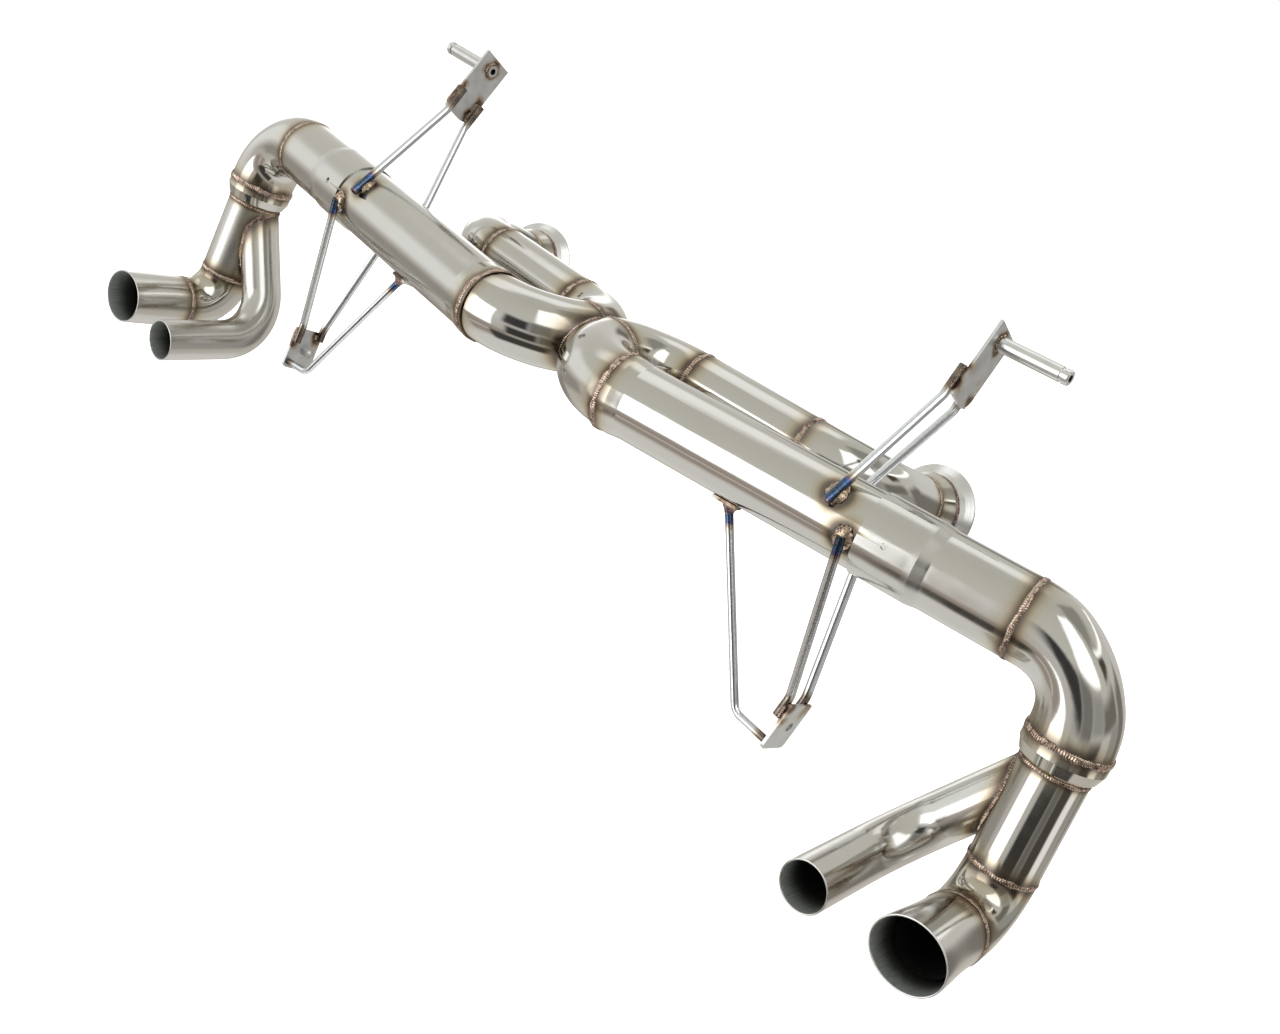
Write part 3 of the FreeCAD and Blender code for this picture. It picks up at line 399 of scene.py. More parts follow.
# ------------------------------------------------------------------ mesh building blocks
def mesh_piece(name, points, faces, finish, body):
    """A mesh object riding on a body."""
    mesh = bpy.data.meshes.new(name)
    mesh.from_pydata([tuple(p) for p in points], [], faces)
    mesh.validate()
    mesh.polygons.foreach_set("use_smooth", [True] * len(mesh.polygons))
    mesh.materials.append(finish)
    piece = bpy.data.objects.new(name, mesh)
    bpy.context.scene.collection.objects.link(piece)
    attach(piece, body)
    return piece


def loft_rings(rings, close_path):
    """Faces between rings of equal point counts."""
    count = len(rings[0])
    points = [p for ring in rings for p in ring]
    faces = []
    spans = len(rings) if close_path else len(rings) - 1
    for i in range(spans):
        a = i * count
        b = ((i + 1) % len(rings)) * count
        for j in range(count):
            k = (j + 1) % count
            faces.append((a + j, a + k, b + k, b + j))
    return points, faces


def resample(points, outs, step, closed):
    """Points at an even spacing along a path, with their outward directions."""
    pairs = list(zip(points, outs))
    if closed:
        pairs.append(pairs[0])
    lengths = [0.0]
    for i in range(1, len(pairs)):
        lengths.append(lengths[-1] + (pairs[i][0] - pairs[i - 1][0]).length)
    total = lengths[-1]
    count = max(8, round(total / step))
    result = []
    index = 1
    for n in range(count if closed else count + 1):
        wanted = total * n / count
        while index < len(lengths) - 1 and lengths[index] < wanted:
            index += 1
        span = max(lengths[index] - lengths[index - 1], 1e-9)
        share = (wanted - lengths[index - 1]) / span
        result.append((pairs[index - 1][0].lerp(pairs[index][0], share),
                       pairs[index - 1][1].lerp(pairs[index][1], share).normalized()))
    return result, total


PROFILE = (-1.0, -0.72, -0.38, 0.0, 0.38, 0.72, 1.0)
RIPPLE_PITCH = 2.3


def bead(name, points, outs, width, height, finish, body, closed=True, phase=0.0):
    """A rippled weld bead along a path. Lengths in mm; points and outs in the row frame."""
    steps, total = resample(points, outs, 0.48 * MM, closed)
    ripples = max(3, round(total / (RIPPLE_PITCH * MM)))
    count = len(steps)
    rings = []
    for i, (point, out) in enumerate(steps):
        ahead = steps[(i + 1) % count][0] if closed or i < count - 1 else point
        behind = steps[i - 1][0] if closed or i > 0 else point
        tangent = (ahead - behind).normalized()
        across = tangent.cross(out).normalized()
        share = i / count
        swell = (1.0 + 0.14 * math.sin(9.0 * share * math.tau + phase)
                 + 0.08 * math.sin(23 * share * math.tau + 2 * phase))
        drift = 0.10 * math.sin(7.0 * share * math.tau + 3 * phase)
        taper = 1.0
        if not closed:
            taper = min(1.0, 0.35 + 8.0 * min(share, 1.0 - share))
        ring = []
        for lateral in PROFILE:
            step = (share * ripples + 0.34 * lateral * lateral) % 1.0
            crown = height * (1.0 - lateral ** 2) ** 0.6 * swell * taper
            crown *= 0.62 + 0.38 * math.cos(step * math.pi)
            side = (lateral * (1.0 + 0.16 * math.cos(step * math.tau)) + drift) * width / 2 * swell * taper
            sunk = 0.35 if abs(lateral) == 1.0 else 0.0
            ring.append(point + across * side * MM + out * (crown - sunk) * MM)
        rings.append(ring)
    vertices, faces = loft_rings(rings, closed)
    if not closed:
        span = len(PROFILE)
        faces.append(tuple(range(span))[::-1])
        faces.append(tuple(range(len(vertices) - span, len(vertices))))
    return mesh_piece(name, vertices, faces, finish, body)


def circle_path(centre, axis, radius, count=90):
    """Points and outward directions round a circle; centre and radius in metres."""
    axis = axis.normalized()
    first = axis.orthogonal().normalized()
    second = axis.cross(first)
    angles = [math.tau * i / count for i in range(count)]
    outs = [first * math.cos(angle) + second * math.sin(angle) for angle in angles]
    return [centre + out * radius for out in outs], outs


WIDER = 1.15


def ring_weld(name, station, axis, radius, side, body, width, height, finish):
    """A bead all round a butt joint."""
    points, outs = circle_path(place(station, side), turn(axis, side), (radius - 0.05) * MM)
    return bead(name, points, outs, width * WIDER, height, finish, body, phase=0.7 * len(name) + side)


# ------------------------------------------------------------------ the light around the object
world = bpy.data.worlds.new("studio")
bpy.context.scene.world = world
world.use_nodes = True
sky = world.node_tree
sky.nodes.clear()
heading = sky.nodes.new("ShaderNodeTexCoord").outputs["Generated"]
parts_xyz = new_node(sky, "SeparateXYZ", {0: heading})
away_x, away_y, away_z = parts_xyz.outputs


def soft_band(value, low, high, blur):
    """One between low and high, fading out over blur on both sides."""
    edges = []
    for edge, before, after in ((low, 0.0, 1.0), (high, 1.0, 0.0)):
        span = {"From Min": edge - blur, "From Max": edge + blur, "To Min": before, "To Max": after}
        edges.append(new_node(sky, "MapRange", {"Value": value, **span},
                              interpolation_type="SMOOTHSTEP").outputs[0])
    return calc(sky, "MULTIPLY", *edges)


elevation = calc(sky, "MULTIPLY", calc(sky, "ARCSINE", away_z), 180 / math.pi)
# 0 looks toward -Y, 90 toward +X
azimuth = calc(sky, "ARCTAN2", away_x, calc(sky, "MULTIPLY", away_y, -1.0))
azimuth = calc(sky, "MULTIPLY", azimuth, 180 / math.pi)
surround = ramp(sky, calc(sky, "DIVIDE", calc(sky, "ADD", elevation, 90.0), 180.0), (
    (0.0, (0.86, 0.86, 0.83)), (0.19, (0.90, 0.89, 0.86)), (0.25, (0.70, 0.67, 0.61)),
    (0.36, (0.66, 0.62, 0.57)), (0.48, (0.72, 0.70, 0.66)), (0.55, (0.84, 0.83, 0.80)),
    (0.64, (0.76, 0.745, 0.69)), (0.80, (0.72, 0.71, 0.645)), (1.0, (0.66, 0.645, 0.59))))
PATCHES = (
    # azimuth range, elevation range, blur in degrees, colour
    (-160, -84, 42, 66, 6.0, (1.26, 1.26, 1.24)),
    (-92, -42, -7, 21, 6.0, (1.08, 1.09, 1.07)),
    (-144, -112, -9, 9, 3.0, (1.50, 1.50, 1.48)),
    (-168, -150, 9, 20, 3.5, (0.22, 0.21, 0.19)),
    (-104, -56, -33, -15, 5.0, (0.42, 0.40, 0.36)),
    (-150, -100, -40, -25, 5.0, (0.34, 0.30, 0.26)),
    (-42, 10, -46, -21, 3.5, (0.46, 0.40, 0.355)),
    (-10, 64, -52, -31, 4.0, (0.07, 0.066, 0.06)),
    (110, 174, 48, 78, 6.0, (0.38, 0.37, 0.33)),
    (5, 34, 2, 27, 4.0, (0.06, 0.056, 0.056)),
    (34, 62, 0, 30, 5.0, (0.26, 0.255, 0.235)),
    (62, 92, 4, 30, 6.0, (0.42, 0.415, 0.39)),
    (92, 132, 4, 24, 5.0, (0.24, 0.22, 0.19)),
    (116, 137, 30, 43, 3.5, (0.09, 0.08, 0.06)),
    (10, 46, -26, -4, 4.0, (0.06, 0.056, 0.05)),
    (46, 62, -26, -2, 4.0, (0.20, 0.19, 0.17)),
    (62, 92, -26, 0, 5.0, (0.09, 0.083, 0.075)),
    (92, 114, -30, -13, 4.0, (1.20, 1.19, 1.17)),
    (114, 136, -26, 6, 5.0, (0.42, 0.41, 0.38)),
    (136, 158, -28, 16, 5.0, (0.26, 0.245, 0.22)),
    (40, 95, 33, 76, 2.5, (1.85, 1.87, 1.86)),
    (-40, -10, -34.5, -32.5, 1.4, (0.95, 0.88, 0.80)),
    (-41, -6, -18, 25, 1.3, (2.3, 2.32, 2.32)),
)
for az_low, az_high, el_low, el_high, blur, colour in PATCHES:
    patch = calc(sky, "MULTIPLY", soft_band(azimuth, az_low, az_high, blur),
                 soft_band(elevation, el_low, el_high, blur))
    surround = mix(sky, patch, surround, colour)
# a long lamp behind, rising toward the right
slant = calc(sky, "ADD", elevation, calc(sky, "MULTIPLY", azimuth, 0.42))
streak = calc(sky, "MULTIPLY", soft_band(azimuth, 118, 185, 6.0), soft_band(slant, 94.5, 98.5, 1.2))
surround = mix(sky, streak, surround, (1.9, 1.9, 1.87))
camera_ray = sky.nodes.new("ShaderNodeLightPath").outputs["Is Camera Ray"]
seen = mix(sky, camera_ray, surround, (1.0, 1.0, 1.0))
backdrop = new_node(sky, "Background", {"Color": seen, "Strength": 1.0})
sky_output = sky.nodes.new("ShaderNodeOutputWorld")
sky.links.new(backdrop.outputs[0], sky_output.inputs[0])

bpy.context.scene.view_settings.view_transform = "Standard"

SWING_ROOM = 0.045  # so that the tips clear the floor at their lowest limit
FLOOR_Z = CAD_BOX[0][2] - SWING_ROOM
FLOOR_HALF = 60.0
floor_mesh = bpy.data.meshes.new("floor")
corners = [(x * FLOOR_HALF, y * FLOOR_HALF, FLOOR_Z) for x, y in ((-1, -1), (1, -1), (1, 1), (-1, 1))]
floor_mesh.from_pydata(corners, [], [(0, 1, 2, 3)])
floor = bpy.data.objects.new("floor", floor_mesh)
bpy.context.scene.collection.objects.link(floor)
floor_finish, floor_tree, floor_shader, floor_position = material("floor_white")
floor_shader.inputs["Metallic"].default_value = 0.0
floor_shader.inputs["Roughness"].default_value = 1.0
floor_shader.inputs["Specular IOR Level"].default_value = 0.0
floor_shader.inputs["Emission Strength"].default_value = 0.72
mottled = ramp(floor_tree, noise(floor_tree, floor_position, 3.0), ((0.3, 0.90), (0.7, 0.92)))
floor_tree.links.new(mottled, floor_shader.inputs["Base Color"])
floor_tree.links.new(mottled, floor_shader.inputs["Emission Color"])
floor_mesh.materials.append(floor_finish)
floor.visible_glossy = False

LAMPS = (("softbox_above", (0.2, -0.3, 2.6), 3.2, 46.0), ("softbox_front", (-0.8, -2.6, 1.5), 1.6, 12.0))
for lamp_name, lamp_place, lamp_size, lamp_power in LAMPS:
    lamp = bpy.data.lights.new(lamp_name, "AREA")
    lamp.size = lamp_size
    lamp.energy = lamp_power
    holder = bpy.data.objects.new(lamp_name, lamp)
    holder.location = lamp_place
    holder.rotation_euler = (-Vector(lamp_place)).to_track_quat("-Z", "Y").to_euler()
    holder.visible_glossy = False
    bpy.context.scene.collection.objects.link(holder)

# ------------------------------------------------------------------ camera
camera = bpy.data.cameras.new("camera")
camera.sensor_width = 36.0
camera.lens = 40.62
eye = bpy.data.objects.new("camera", camera)
look_right = Vector((0.68893, 0.66626, 0.28544))
look_down = Vector((0.50217, -0.15476, -0.85081))
look_ahead = Vector((-0.52269, 0.72948, -0.44120))
eye.matrix_world = Matrix.Translation((Vector((889.4, -1071.0, 550.6)) + SHIFT) * MM) @ Matrix(
    (look_right, -look_down, -look_ahead)).transposed().to_4x4()
bpy.context.scene.collection.objects.link(eye)
bpy.context.scene.camera = eye


# ------------------------------------------------------------------ paths of bent tubes
class Bent:
    """A one-bend tube path in mm: straight, arc, straight."""

    def __init__(self, start, corner, end, bend):
        self.first = (corner - start).normalized()
        self.second = (end - corner).normalized()
        self.angle = self.first.angle(self.second)
        reach = bend * math.tan(self.angle / 2)
        self.start, self.bend = start, bend
        self.leg_a = (corner - start).length - reach
        self.leg_b = (end - corner).length - reach
        inward = self.second - self.first * self.second.dot(self.first)
        self.inward = inward.normalized()
        self.binormal = self.first.cross(self.inward)
        self.arc = bend * self.angle
        self.total = self.leg_a + self.arc + self.leg_b

    def at(self, s):
        """Centre and the two cross directions at a distance along the path."""
        if s <= self.leg_a:
            return self.start + self.first * s, self.inward, self.binormal
        turn_angle = min((s - self.leg_a) / self.bend, self.angle)
        middle = self.start + self.first * self.leg_a + self.inward * self.bend
        inward = self.inward * math.cos(turn_angle) - self.first * math.sin(turn_angle)
        centre = middle - inward * self.bend
        if s > self.leg_a + self.arc:
            centre = centre + self.second * (s - self.leg_a - self.arc)
        return centre, inward, self.binormal

    def point(self, s, angle, radius):
        centre, inward, binormal = self.at(s)
        out = inward * math.cos(angle) + binormal * math.sin(angle)
        return centre + out * radius, out


BRANCH = Bent(BRANCH_START, BRANCH_CORNER, BRANCH_MOUTH, 66.0)
TIP_RUN = Bent(TIP_BEND_WELD, TIP_CORNER, TIP_MOUTH, 48.0)
INLET_RUN = Bent(INLET_OUTER, INLET_CORNER, FLANGE_FACE, 74.0)


def saddle_path(side):
    """Where the branch tube leaves the merge tube, with the corner's outward directions."""
    points, outs = [], []
    for i in range(120):
        angle = math.tau * i / 120
        s = 140.0
        while s > 5.0:
            point, out = BRANCH.point(s, angle, BRANCH_R)
            offset = point - COLLAR_TOP
            radial = offset - DOWN_DIR * offset.dot(DOWN_DIR)
            if radial.length < MERGE_R:
                break
            s -= 0.25
        points.append(place(point, side))
        outs.append(turn((out + radial.normalized()).normalized(), side))
    return points, outs


# ------------------------------------------------------------------ crossover seams
REAR_BEND = 76.2
REAR_MIDDLE = 96.0 - 1.0 - REAR_BEND
REAR_U, REAR_V = REAR_MIDDLE + REAR_BEND, REAR_BEND - 62.6
MEET = REAR_U - math.sqrt(REAR_BEND ** 2 - REAR_V ** 2)
FRONT_BEND = ((90.5 - MEET) ** 2 + 64.0 ** 2) / (2 * 64.0)
FRONT_TURN = 2 * math.atan(64.0 / (90.5 - MEET))


def cross_point(u, v, w):
    return from_cross(u, v) + CROSS_NORMAL * w


def middle_seam_rear():
    """On the mid plane, from the cross plane round the rear and back."""
    low = math.sqrt(REAR_U ** 2 + REAR_V ** 2)
    high = REAR_BEND + MAIN_R
    points = []
    for i in range(41):
        share = math.sin(math.pi * i / 40)
        rho = low + (high - low) * share
        w = math.sqrt(max(MAIN_R ** 2 - (rho - REAR_BEND) ** 2, 0.0)) * (1 if i < 20 else -1)
        v = REAR_V - math.sqrt(max(rho ** 2 - REAR_U ** 2, 0.0))
        points.append(Vector((0.0, v, w)))
    return points


def cross_seam():
    """On the cross plane, from the mid plane round the outside and back."""
    low = REAR_BEND - MAIN_R
    high = math.sqrt(REAR_U ** 2 + REAR_V ** 2)
    points = []
    for i in range(61):
        share = math.sin(math.pi * i / 60)
        rho = high + (low - high) * share
        w = math.sqrt(max(MAIN_R ** 2 - (rho - REAR_BEND) ** 2, 0.0)) * (1 if i < 30 else -1)
        points.append(Vector((REAR_U - math.sqrt(rho ** 2 - REAR_V ** 2), 0.0, w)))
    return points


def front_section(turned_by):
    """Centre, lean and half sizes of the front bend at an angle from its inlet end."""
    share_points = (0.0, 0.0, 0.08, 0.25, 0.55, 0.85, 1.0)
    place_on = turned_by / FRONT_TURN * 6.0
    index = min(int(place_on), 5)
    share = share_points[index] + (share_points[index + 1] - share_points[index]) * (place_on - index)
    wide_end = MAIN_R * REAR_BEND / math.sqrt(REAR_BEND ** 2 - REAR_V ** 2)
    wide = INLET_R + (wide_end - INLET_R) * share
    high = INLET_R + (MAIN_R - INLET_R) * share
    lean = turned_by if turned_by < FRONT_TURN * 0.97 else math.pi / 2
    u = 90.5 - FRONT_BEND * math.sin(turned_by)
    v = 64.0 - FRONT_BEND + FRONT_BEND * math.cos(turned_by)
    return (u, v), lean, wide, high


def middle_seam_front():
    """On the mid plane, from the cross plane round the front and back."""
    half = []
    steps = 60
    for i in range(steps + 1):
        turned_by = FRONT_TURN * (1 - 0.6 * i / steps)
        (u, v), lean, wide, high = front_section(turned_by)
        out_u, out_v = -math.sin(lean), math.cos(lean)
        reach = -u / out_u if out_u < -1e-6 else 1e9
        if abs(reach) >= wide:
            break
        half.append((v + out_v * reach, high * math.sqrt(1 - (reach / wide) ** 2)))
    points = [Vector((0.0, v, w)) for v, w in half]
    return points + [Vector((0.0, v, -w)) for v, w in reversed(half)]


def seam_bead(name, flat_points, centre, drop, body, width, height):
    """A bead on a planar seam; drop is the axis left out of the outward directions."""
    outs = []
    count = len(flat_points)
    for i, point in enumerate(flat_points):
        tangent = flat_points[min(i + 1, count - 1)] - flat_points[max(i - 1, 0)]
        tangent[drop] = 0.0
        normal = Vector((0, 0, 0))
        a, b = [axis for axis in range(3) if axis != drop]
        normal[a], normal[b] = tangent[b], -tangent[a]
        if normal.dot(point - centre) < 0:
            normal = -normal
        normal.normalize()
        outs.append(ACROSS * normal.x + CROSS_FORWARD * normal.y + CROSS_NORMAL * normal.z)
    points = [place(cross_point(p.x, p.y, p.z), 1) for p in flat_points]
    return bead(name, points, outs, width, height, WELD, body, closed=False, phase=count * 0.37)


seam_bead("weld_middle_rear", middle_seam_rear(), Vector((0, -18, 0)), 0, MAIN_BODY, 6.0, 1.5)
seam_bead("weld_middle_front", middle_seam_front(), Vector((0, 12, 0)), 0, MAIN_BODY, 6.0, 1.5)
for side_name, side in SIDES:
    arc = [Vector((p.x * side, p.y, p.z)) for p in cross_seam()]
    seam_bead("weld_cross_" + side_name, arc, Vector((22.0 * side, 0, 0)), 1, MAIN_BODY, 5.4, 1.1)

# ------------------------------------------------------------------ rods and their welds
Contact = namedtuple("Contact", "centre out rod_dir bend_point end_point")


def rod_contact(start, end):
    """The pipe axis point nearest to a rod, the way out to the rod, and the rod's direction."""
    across = (end - start).cross(MAIN_DIR).normalized()
    gap = (CROSS_REAR - start).dot(across)
    out = across * (-1 if gap > 0 else 1)
    rod_dir = (end - start).normalized()
    between = CROSS_REAR - start
    slope = MAIN_DIR.dot(rod_dir)
    along_main = (slope * rod_dir.dot(between) - MAIN_DIR.dot(between)) / (1 - slope * slope)
    return CROSS_REAR + MAIN_DIR * along_main, out, rod_dir


def touching(upper, lower):
    """The rod's lower end, shifted so that the rod just touches the main pipe."""
    end = Vector(lower)
    for _ in range(30):
        across = (end - upper).cross(MAIN_DIR).normalized()
        gap = (end - CROSS_REAR).dot(across)
        if gap < 0:
            across, gap = -across, -gap
        end = end + across * (MAIN_R + ROD_R + 0.02 - gap)
    return end


def beside_plate(centre, long_axis, short_axis, out, short, along, off):
    return centre + short_axis * short + long_axis * along - out * off


ROD_GAP = PLATE_T / 2 + ROD_R + 0.02
HANGER = (HANGER_CENTRE, HANGER_LONG, HANGER_SHORT, HANGER_OUT)
BRACKET = (BRACKET_CENTRE, BRACKET_LONG, BRACKET_SHORT, BRACKET_OUT)
RODS = (
    # name, plate, place across the plate, along it at the bend and at the end, near which point of the pipe
    ("hanger_rod_rear", HANGER, -20.5, -44.0, -12.0, (345.0, -60.0, 60.5)),
    ("hanger_rod_front", HANGER, 17.5, -44.0, -12.0, (317.5, 8.0, 14.0)),
    ("bracket_rod_rear", BRACKET, -17.5, 29.0, 8.0, (371.5, -58.0, 42.0)),
    ("bracket_rod_front", BRACKET, 14.5, 29.0, 16.0, (352.0, 22.5, 42.0)),
)
contacts = {}
for rod_name, plate, short, turn_at, stop_at, pipe_end in RODS:
    rod_bend = beside_plate(*plate, short, turn_at, ROD_GAP)
    rod_stop = beside_plate(*plate, short, stop_at, ROD_GAP)
    contacts[rod_name] = Contact(*rod_contact(rod_bend, touching(rod_bend, pipe_end)), rod_bend, rod_stop)


def boss(name, rod_name, side, along=12.5, across=10.5, rise=5.2):
    """The puddled weld that joins a rod to the main pipe."""
    centre, out, rod_dir = contacts[rod_name][:3]
    second = rod_dir - MAIN_DIR * rod_dir.dot(MAIN_DIR)
    second.normalize()
    lean = math.atan2(rod_dir.dot(second), rod_dir.dot(MAIN_DIR))
    rings = []
    steps, spokes = 15, 72
    for i in range(steps + 1):
        rho = i / steps
        ring = []
        for j in range(spokes):
            angle = math.tau * j / spokes
            ragged = 1.0 + 0.05 * math.sin(5 * angle + len(rod_name)) + 0.04 * math.sin(11 * angle + side)
            p = along * rho * ragged * math.cos(angle)
            q = across * rho * ragged * math.sin(angle)
            on_axis = p * math.cos(lean) - q * math.sin(lean)
            around = (p * math.sin(lean) + q * math.cos(lean)) / MAIN_R
            ripple = 0.22 * math.cos(rho * 6.0 * math.tau + 1.5 * math.cos(2 * angle))
            ripple *= (0.3 + rho) * (1 - rho ** 6)
            lift = rise * (1.0 - rho ** 2.2) ** 0.75 + ripple - (0.3 if i == steps else 0.0)
            radial = out * math.cos(around) + second * math.sin(around)
            ring.append(place(centre + MAIN_DIR * on_axis + radial * (MAIN_R + lift), side))
        rings.append(ring)
    points, faces = loft_rings(rings[1:], close_path=False)
    points.append(place(centre + out * (MAIN_R + rise), side))
    tip = len(points) - 1
    faces += [(tip, (j + 1) % spokes, j) for j in range(spokes)]
    faces.append(tuple(range(tip - spokes, tip)))
    return mesh_piece(name, points, faces, WELD_BOSS, MAIN_BODY)


def straight_bead(name, start, end, out, side, body, width, height, finish):
    points = [place(start.lerp(end, i / 12), side) for i in range(13)]
    outs = [turn(out, side)] * 13
    return bead(name, points, outs, width, height, finish, body, closed=False, phase=side + len(name))


def plate_end_welds(rod_name, side, tag, short_axis, out, finish):
    """Beads on both sides of a rod's end where it lies along the plate's inner face."""
    bend_point, end_point = contacts[rod_name][3:]
    begin = bend_point + (end_point - bend_point).normalized() * 7.0
    for number, edge in enumerate((-1, 1)):
        shift = short_axis * edge * (ROD_R - 0.2) + out * (ROD_R - 1.6)
        lean_out = (short_axis * edge - out * 0.8).normalized()
        straight_bead("weld_%s_%d" % (rod_name, number) + tag, begin + shift, end_point + shift, lean_out,
                      side, MAIN_BODY, 6.0, 1.8, finish)


def stay_weld(name, side):
    """The weld that joins the stay rod to its tab under the main pipe."""
    down = (STAY_CORNER - STAY_TOP).normalized()
    rings = []
    for i in range(13):
        share = i / 12
        middle = place(TAB_FOOT.lerp(STAY_TOP + down * 5.0, share), side)
        flow = (TAB_DOWN * (1 - share) + down * share).normalized()
        outs = circle_path(middle, turn(flow, side), 0.0, 40)[1]
        radius = 4.1 + 4.2 * (1 - share) ** 1.8 + 0.25 * math.cos(share * 4 * math.tau)
        ragged = [radius + 0.3 * math.sin(0.9 * j + side) for j in range(40)]
        rings.append([middle + out * reach * MM for out, reach in zip(outs, ragged)])
    points, faces = loft_rings(rings, close_path=False)
    return mesh_piece(name, points, faces, WELD_PURPLE, MAIN_BODY)


def oval_path(centre, axis, across, wide, high, count=96):
    """Points and outward directions round an oval mouth, metres."""
    axis = axis.normalized()
    first = (across - axis * across.dot(axis)).normalized()
    second = axis.cross(first)
    points, outs = [], []
    for i in range(count):
        angle = math.tau * i / count
        points.append(centre + first * wide * math.cos(angle) + second * high * math.sin(angle))
        outs.append((first * math.cos(angle) / wide + second * math.sin(angle) / high).normalized())
    return points, outs


def rim(name, centre, axis, across, wide, high, finish, body):
    """A rounded polished lip over the cut end of a tube."""
    points, outs = oval_path(centre, axis, across, (wide - WALL / 2) * MM, (high - WALL / 2) * MM)
    rings = []
    for point, out in zip(points, outs):
        ring = []
        for j in range(10):
            angle = math.tau * j / 10
            ring.append(point + (out * math.cos(angle) * 0.86 + axis * math.sin(angle) * 0.55) * MM)
        rings.append(ring)
    vertices, faces = loft_rings(rings, close_path=True)
    return mesh_piece(name, vertices, faces, finish, body)


def bore_shade_sheet(name, run, side, end_s, depth, radius_at, finish, body):
    """A thin dark sheet of painted shade inside a tube, from near its mouth inward, closed at its deep end.
    """
    rings = []
    steps = 36
    for i in range(steps + 1):
        s = end_s - depth * i / steps
        centre, inward, binormal = run.at(s)
        radius = radius_at(end_s - s)
        ring = []
        for j in range(64):
            angle = math.tau * j / 64
            out = inward * math.cos(angle) + binormal * math.sin(angle)
            ring.append(place(centre + out * radius, side))
        rings.append(ring)
    points, faces = loft_rings(rings, close_path=False)
    faces.append(tuple(range(len(points) - 64, len(points))))
    return mesh_piece(name, points, faces, finish, body)


def inlet_radius(depth):
    """Just inside the wall of the flange, the reducer and the inlet elbow."""
    wide, narrow = MAIN_R - WALL - 0.3, INLET_R - WALL - 0.4
    return wide if depth < 19 else max(narrow, wide - (depth - 19) * 0.5)


def dress(node_name, finish):
    """Give a CAD node its finish; only its material slot changes."""
    slots = NODES[node_name].data.materials
    slots.clear()
    slots.append(finish)


# ------------------------------------------------------------------ both sides of the object
RIM_STEEL = turned_metal("rim_steel", Vector((0, 0, 0)), Vector((0, 1, 0)))
CROSS_MIDDLE = from_cross(0, 0)
RING_WELDS = (
    # name, station, axis, radius, turns with the tips, bead width and height, finish
    ("weld_main_inner", CROSS_REAR, MAIN_DIR, 39.7, False, 6.0, 1.1, WELD),
    ("weld_inlet_inner", INLET_INNER, INLET_DIR, INLET_R, False, 5.0, 1.0, WELD),
    ("weld_inlet_outer", INLET_OUTER, INLET_DIR, INLET_R, False, 5.0, 1.0, WELD),
    ("weld_reducer", INLET_END, FORWARD_DIR, INLET_R, False, 4.0, 0.8, WELD),
    ("weld_flange", FLANGE_WELD + FORWARD_DIR, FORWARD_DIR, MAIN_R, False, 5.6, 1.2, WELD_PURPLE),
    ("weld_elbow", ELBOW_WELD, MAIN_DIR, MAIN_R, True, 5.2, 1.0, WELD),
    ("weld_collar", COLLAR_TOP, DOWN_DIR, MAIN_R + 0.3, True, 6.4, 1.3, WELD),
    ("weld_collar_edge", MERGE_TOP - DOWN_DIR * 0.5, DOWN_DIR, MERGE_R + 0.2, True, 3.0, 0.7, WELD),
    ("weld_tip_bend", TIP_BEND_WELD, DOWN_DIR, MERGE_R, True, 4.8, 1.0, WELD),
    ("weld_tip", TIP_WELD, TIP_DIR, MERGE_R, True, 4.8, 1.0, WELD),
)
# the way the draw lines run, where it isn't along the main pipe
DRAWN = {"merge_tube": DOWN_DIR, "collar": DOWN_DIR, "main_elbow": DOWN_DIR,
         "tip_bend": TIP_DIR, "large_tip": TIP_DIR, "branch_tube": TIP_DIR,
         "inlet_elbow": FORWARD_DIR, "inlet_reducer": FORWARD_DIR}
# roughness added to the mirror polish, by side
SATIN = {"right": {"slip_pipe": 0.05, "branch_tube": 0.08, "large_tip": 0.05},
         "left": {"slip_pipe": 0.10, "branch_tube": 0.12, "large_tip": 0.10,
                  "merge_tube": 0.18, "main_pipe": 0.06}}

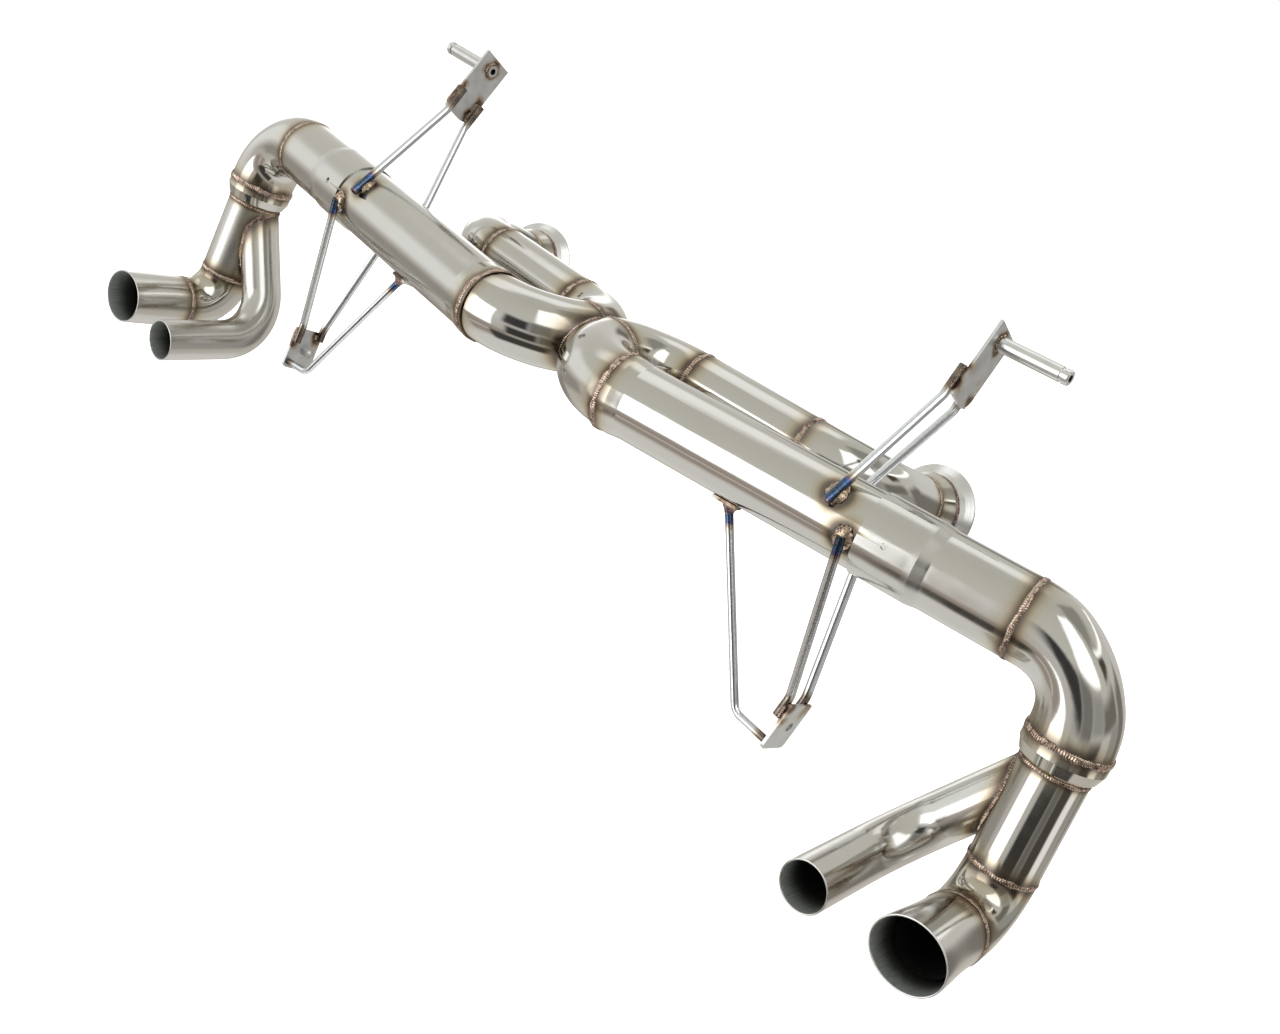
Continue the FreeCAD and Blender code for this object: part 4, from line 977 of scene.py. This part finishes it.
for side_name, side in SIDES:
    tips = "tip_section_" + side_name
    tag = "_" + side_name

    def spot(station):
        return place(station, side)

    def heading_of(direction):
        return turn(direction, side)

    def plane(spread, station, direction):
        return "plane", spread, spot(station), heading_of(direction)

    for weld_name, station, axis, radius, turns, width, height, finish in RING_WELDS:
        body = tips if turns else MAIN_BODY
        ring_weld(weld_name + tag, station, axis, radius, side, body, width, height, finish)
    bead("weld_branch" + tag, *saddle_path(side), 8.0, 2.1, WELD, tips, phase=side * 1.3)
    for number, lean, reach in ((0, -1, 2.0), (1, 1, 2.2)):
        pin_out = heading_of(HANGER_OUT)
        points, outs = circle_path(spot(PIN_SEAT + HANGER_OUT * reach * lean), pin_out, (PIN_R + 0.4) * MM)
        outs = [(out * 0.7 + pin_out * lean * 0.7).normalized() for out in outs]
        bead("weld_pin_%d" % number + tag, points, outs, 4.6, 1.5, WELD_DARK, MAIN_BODY, phase=2.0 + number)

    for rod_name, (_, _, short_axis, plate_out), *_ in RODS:
        boss("boss_" + rod_name + tag, rod_name, side)
        finish = WELD_DARK if "hanger" in rod_name else WELD
        plate_end_welds(rod_name, side, tag, short_axis, plate_out, finish)
    stay_weld("weld_stay_top" + tag, side)

    # lips, and dark sheets of painted shade inside the bores
    wide_way = heading_of(ACROSS)
    rim("rim_tip" + tag, spot(TIP_MOUTH), heading_of(TIP_DIR), wide_way, 36.0, 31.0, RIM_STEEL, tips)
    rim("rim_branch" + tag, spot(BRANCH_MOUTH), heading_of(BRANCH_DIR), wide_way, BRANCH_R, BRANCH_R,
        RIM_STEEL, tips)
    bore_shade_sheet("lining_tip" + tag, TIP_RUN, side, TIP_RUN.total - 34.0, 85.0,
                lambda depth: MERGE_R - WALL - 1.4, BORE_SHADE_FINISH, tips)
    bore_shade_sheet("bore_shade_branch" + tag, BRANCH, side, BRANCH.total - 34.0, 95.0,
                lambda depth: BRANCH_R - WALL - 0.8, BORE_SHADE_FINISH, tips)
    bore_shade_sheet("bore_shade_inlet" + tag, INLET_RUN, side, INLET_RUN.total - 1.5, 110.0,
                inlet_radius, BORE_SHADE_FINISH, MAIN_BODY)

    # finishes of the CAD pieces
    middle = plane(0.9, CROSS_MIDDLE, ACROSS)
    split = plane(0.9, CROSS_MIDDLE, CROSS_FORWARD)
    welds = {
        "crossover_rear": [plane(1.0, CROSS_REAR, MAIN_DIR), middle, split],
        "crossover_front": [plane(1.0, INLET_INNER, ACROSS), middle, split],
        "main_pipe": [plane(0.9, CROSS_REAR, MAIN_DIR)] + [
            ("point", 0.8, spot(contact.centre + contact.out * MAIN_R), 0.0105)
            for contact in contacts.values()],
        "slip_pipe": [plane(0.9, ELBOW_WELD, MAIN_DIR)],
        "main_elbow": [plane(0.9, ELBOW_WELD, MAIN_DIR), plane(1.0, COLLAR_TOP, DOWN_DIR)],
        "collar": [plane(0.7, COLLAR_TOP, DOWN_DIR), plane(0.35, MERGE_TOP, DOWN_DIR)],
        "merge_tube": [plane(0.45, MERGE_TOP, DOWN_DIR), plane(1.0, TIP_BEND_WELD, DOWN_DIR),
                       ("tube", 0.5, spot(BRANCH_START), heading_of(BRANCH.first), BRANCH_R * MM)],
        "branch_tube": [("tube", 0.8, spot(COLLAR_TOP), heading_of(DOWN_DIR), MERGE_R * MM)],
        "tip_bend": [plane(1.0, TIP_BEND_WELD, DOWN_DIR), plane(1.0, TIP_WELD, TIP_DIR)],
        "large_tip": [plane(1.0, TIP_WELD, TIP_DIR)],
        "inlet_tube": [plane(1.2, INLET_INNER, INLET_DIR), plane(1.0, INLET_OUTER, INLET_DIR)],
        "inlet_elbow": [plane(1.0, INLET_OUTER, INLET_DIR), plane(0.7, INLET_END, FORWARD_DIR)],
        "inlet_reducer": [plane(0.6, INLET_END, FORWARD_DIR), plane(0.5, FLANGE_WELD, FORWARD_DIR)],
    }
    mouths = {"large_tip": (spot(TIP_MOUTH), -heading_of(TIP_DIR), 0.074),
              "branch_tube": (spot(BRANCH_MOUTH), -heading_of(BRANCH_DIR), 0.070)}
    worked = {"slip_pipe": (spot(SOCKET_END), heading_of(MAIN_DIR))}
    for node_name, sources in welds.items():
        dress(node_name + tag, polished_tube(
            "steel_" + node_name + tag, sources, DRAWN.get(node_name, MAIN_DIR),
            SATIN[side_name].get(node_name, 0.0), mouths.get(node_name), worked.get(node_name)))

    scorched = {"hanger": [(spot(PIN_SEAT), 0.009)], "bracket": []}
    for rod_name, contact in contacts.items():
        on_plate = contact.bend_point.lerp(contact.end_point, 0.45)
        scorched[rod_name.split("_")[0]].extend([(spot(contact.end_point), 0.006), (spot(on_plate), 0.007)])
        dress(rod_name + tag, bright_rod(
            "rod_" + rod_name + tag, spot(contact.centre + contact.out * (MAIN_R + ROD_R)),
            [spot(contact.end_point), spot(contact.bend_point.lerp(contact.end_point, 0.5))]))
    tab_spots = [(spot(CROSS_REAR + MAIN_DIR * TAB_ALONG), 0.037), (spot(TAB_FOOT), 0.012)]
    dress("hanger_plate" + tag, satin_plate("plate_hanger" + tag, scorched["hanger"]))
    dress("bracket_plate" + tag, satin_plate("plate_bracket" + tag, scorched["bracket"]))
    dress("stay_tab" + tag, satin_plate("plate_tab" + tag, tab_spots))
    dress("stay_rod" + tag, bright_rod("rod_stay" + tag, spot(STAY_TOP), [spot(STAY_END)]))
    for node_name, short_name, station, axis in (("hanger_pin", "pin", PIN_SEAT, HANGER_OUT),
                                                 ("clamp_flange", "flange", FLANGE_FACE, FORWARD_DIR),
                                                 ("weld_nut", "nut", NUT_SEAT, BRACKET_OUT)):
        dress(node_name + tag, turned_metal("turned_" + short_name + tag, spot(station), heading_of(axis)))
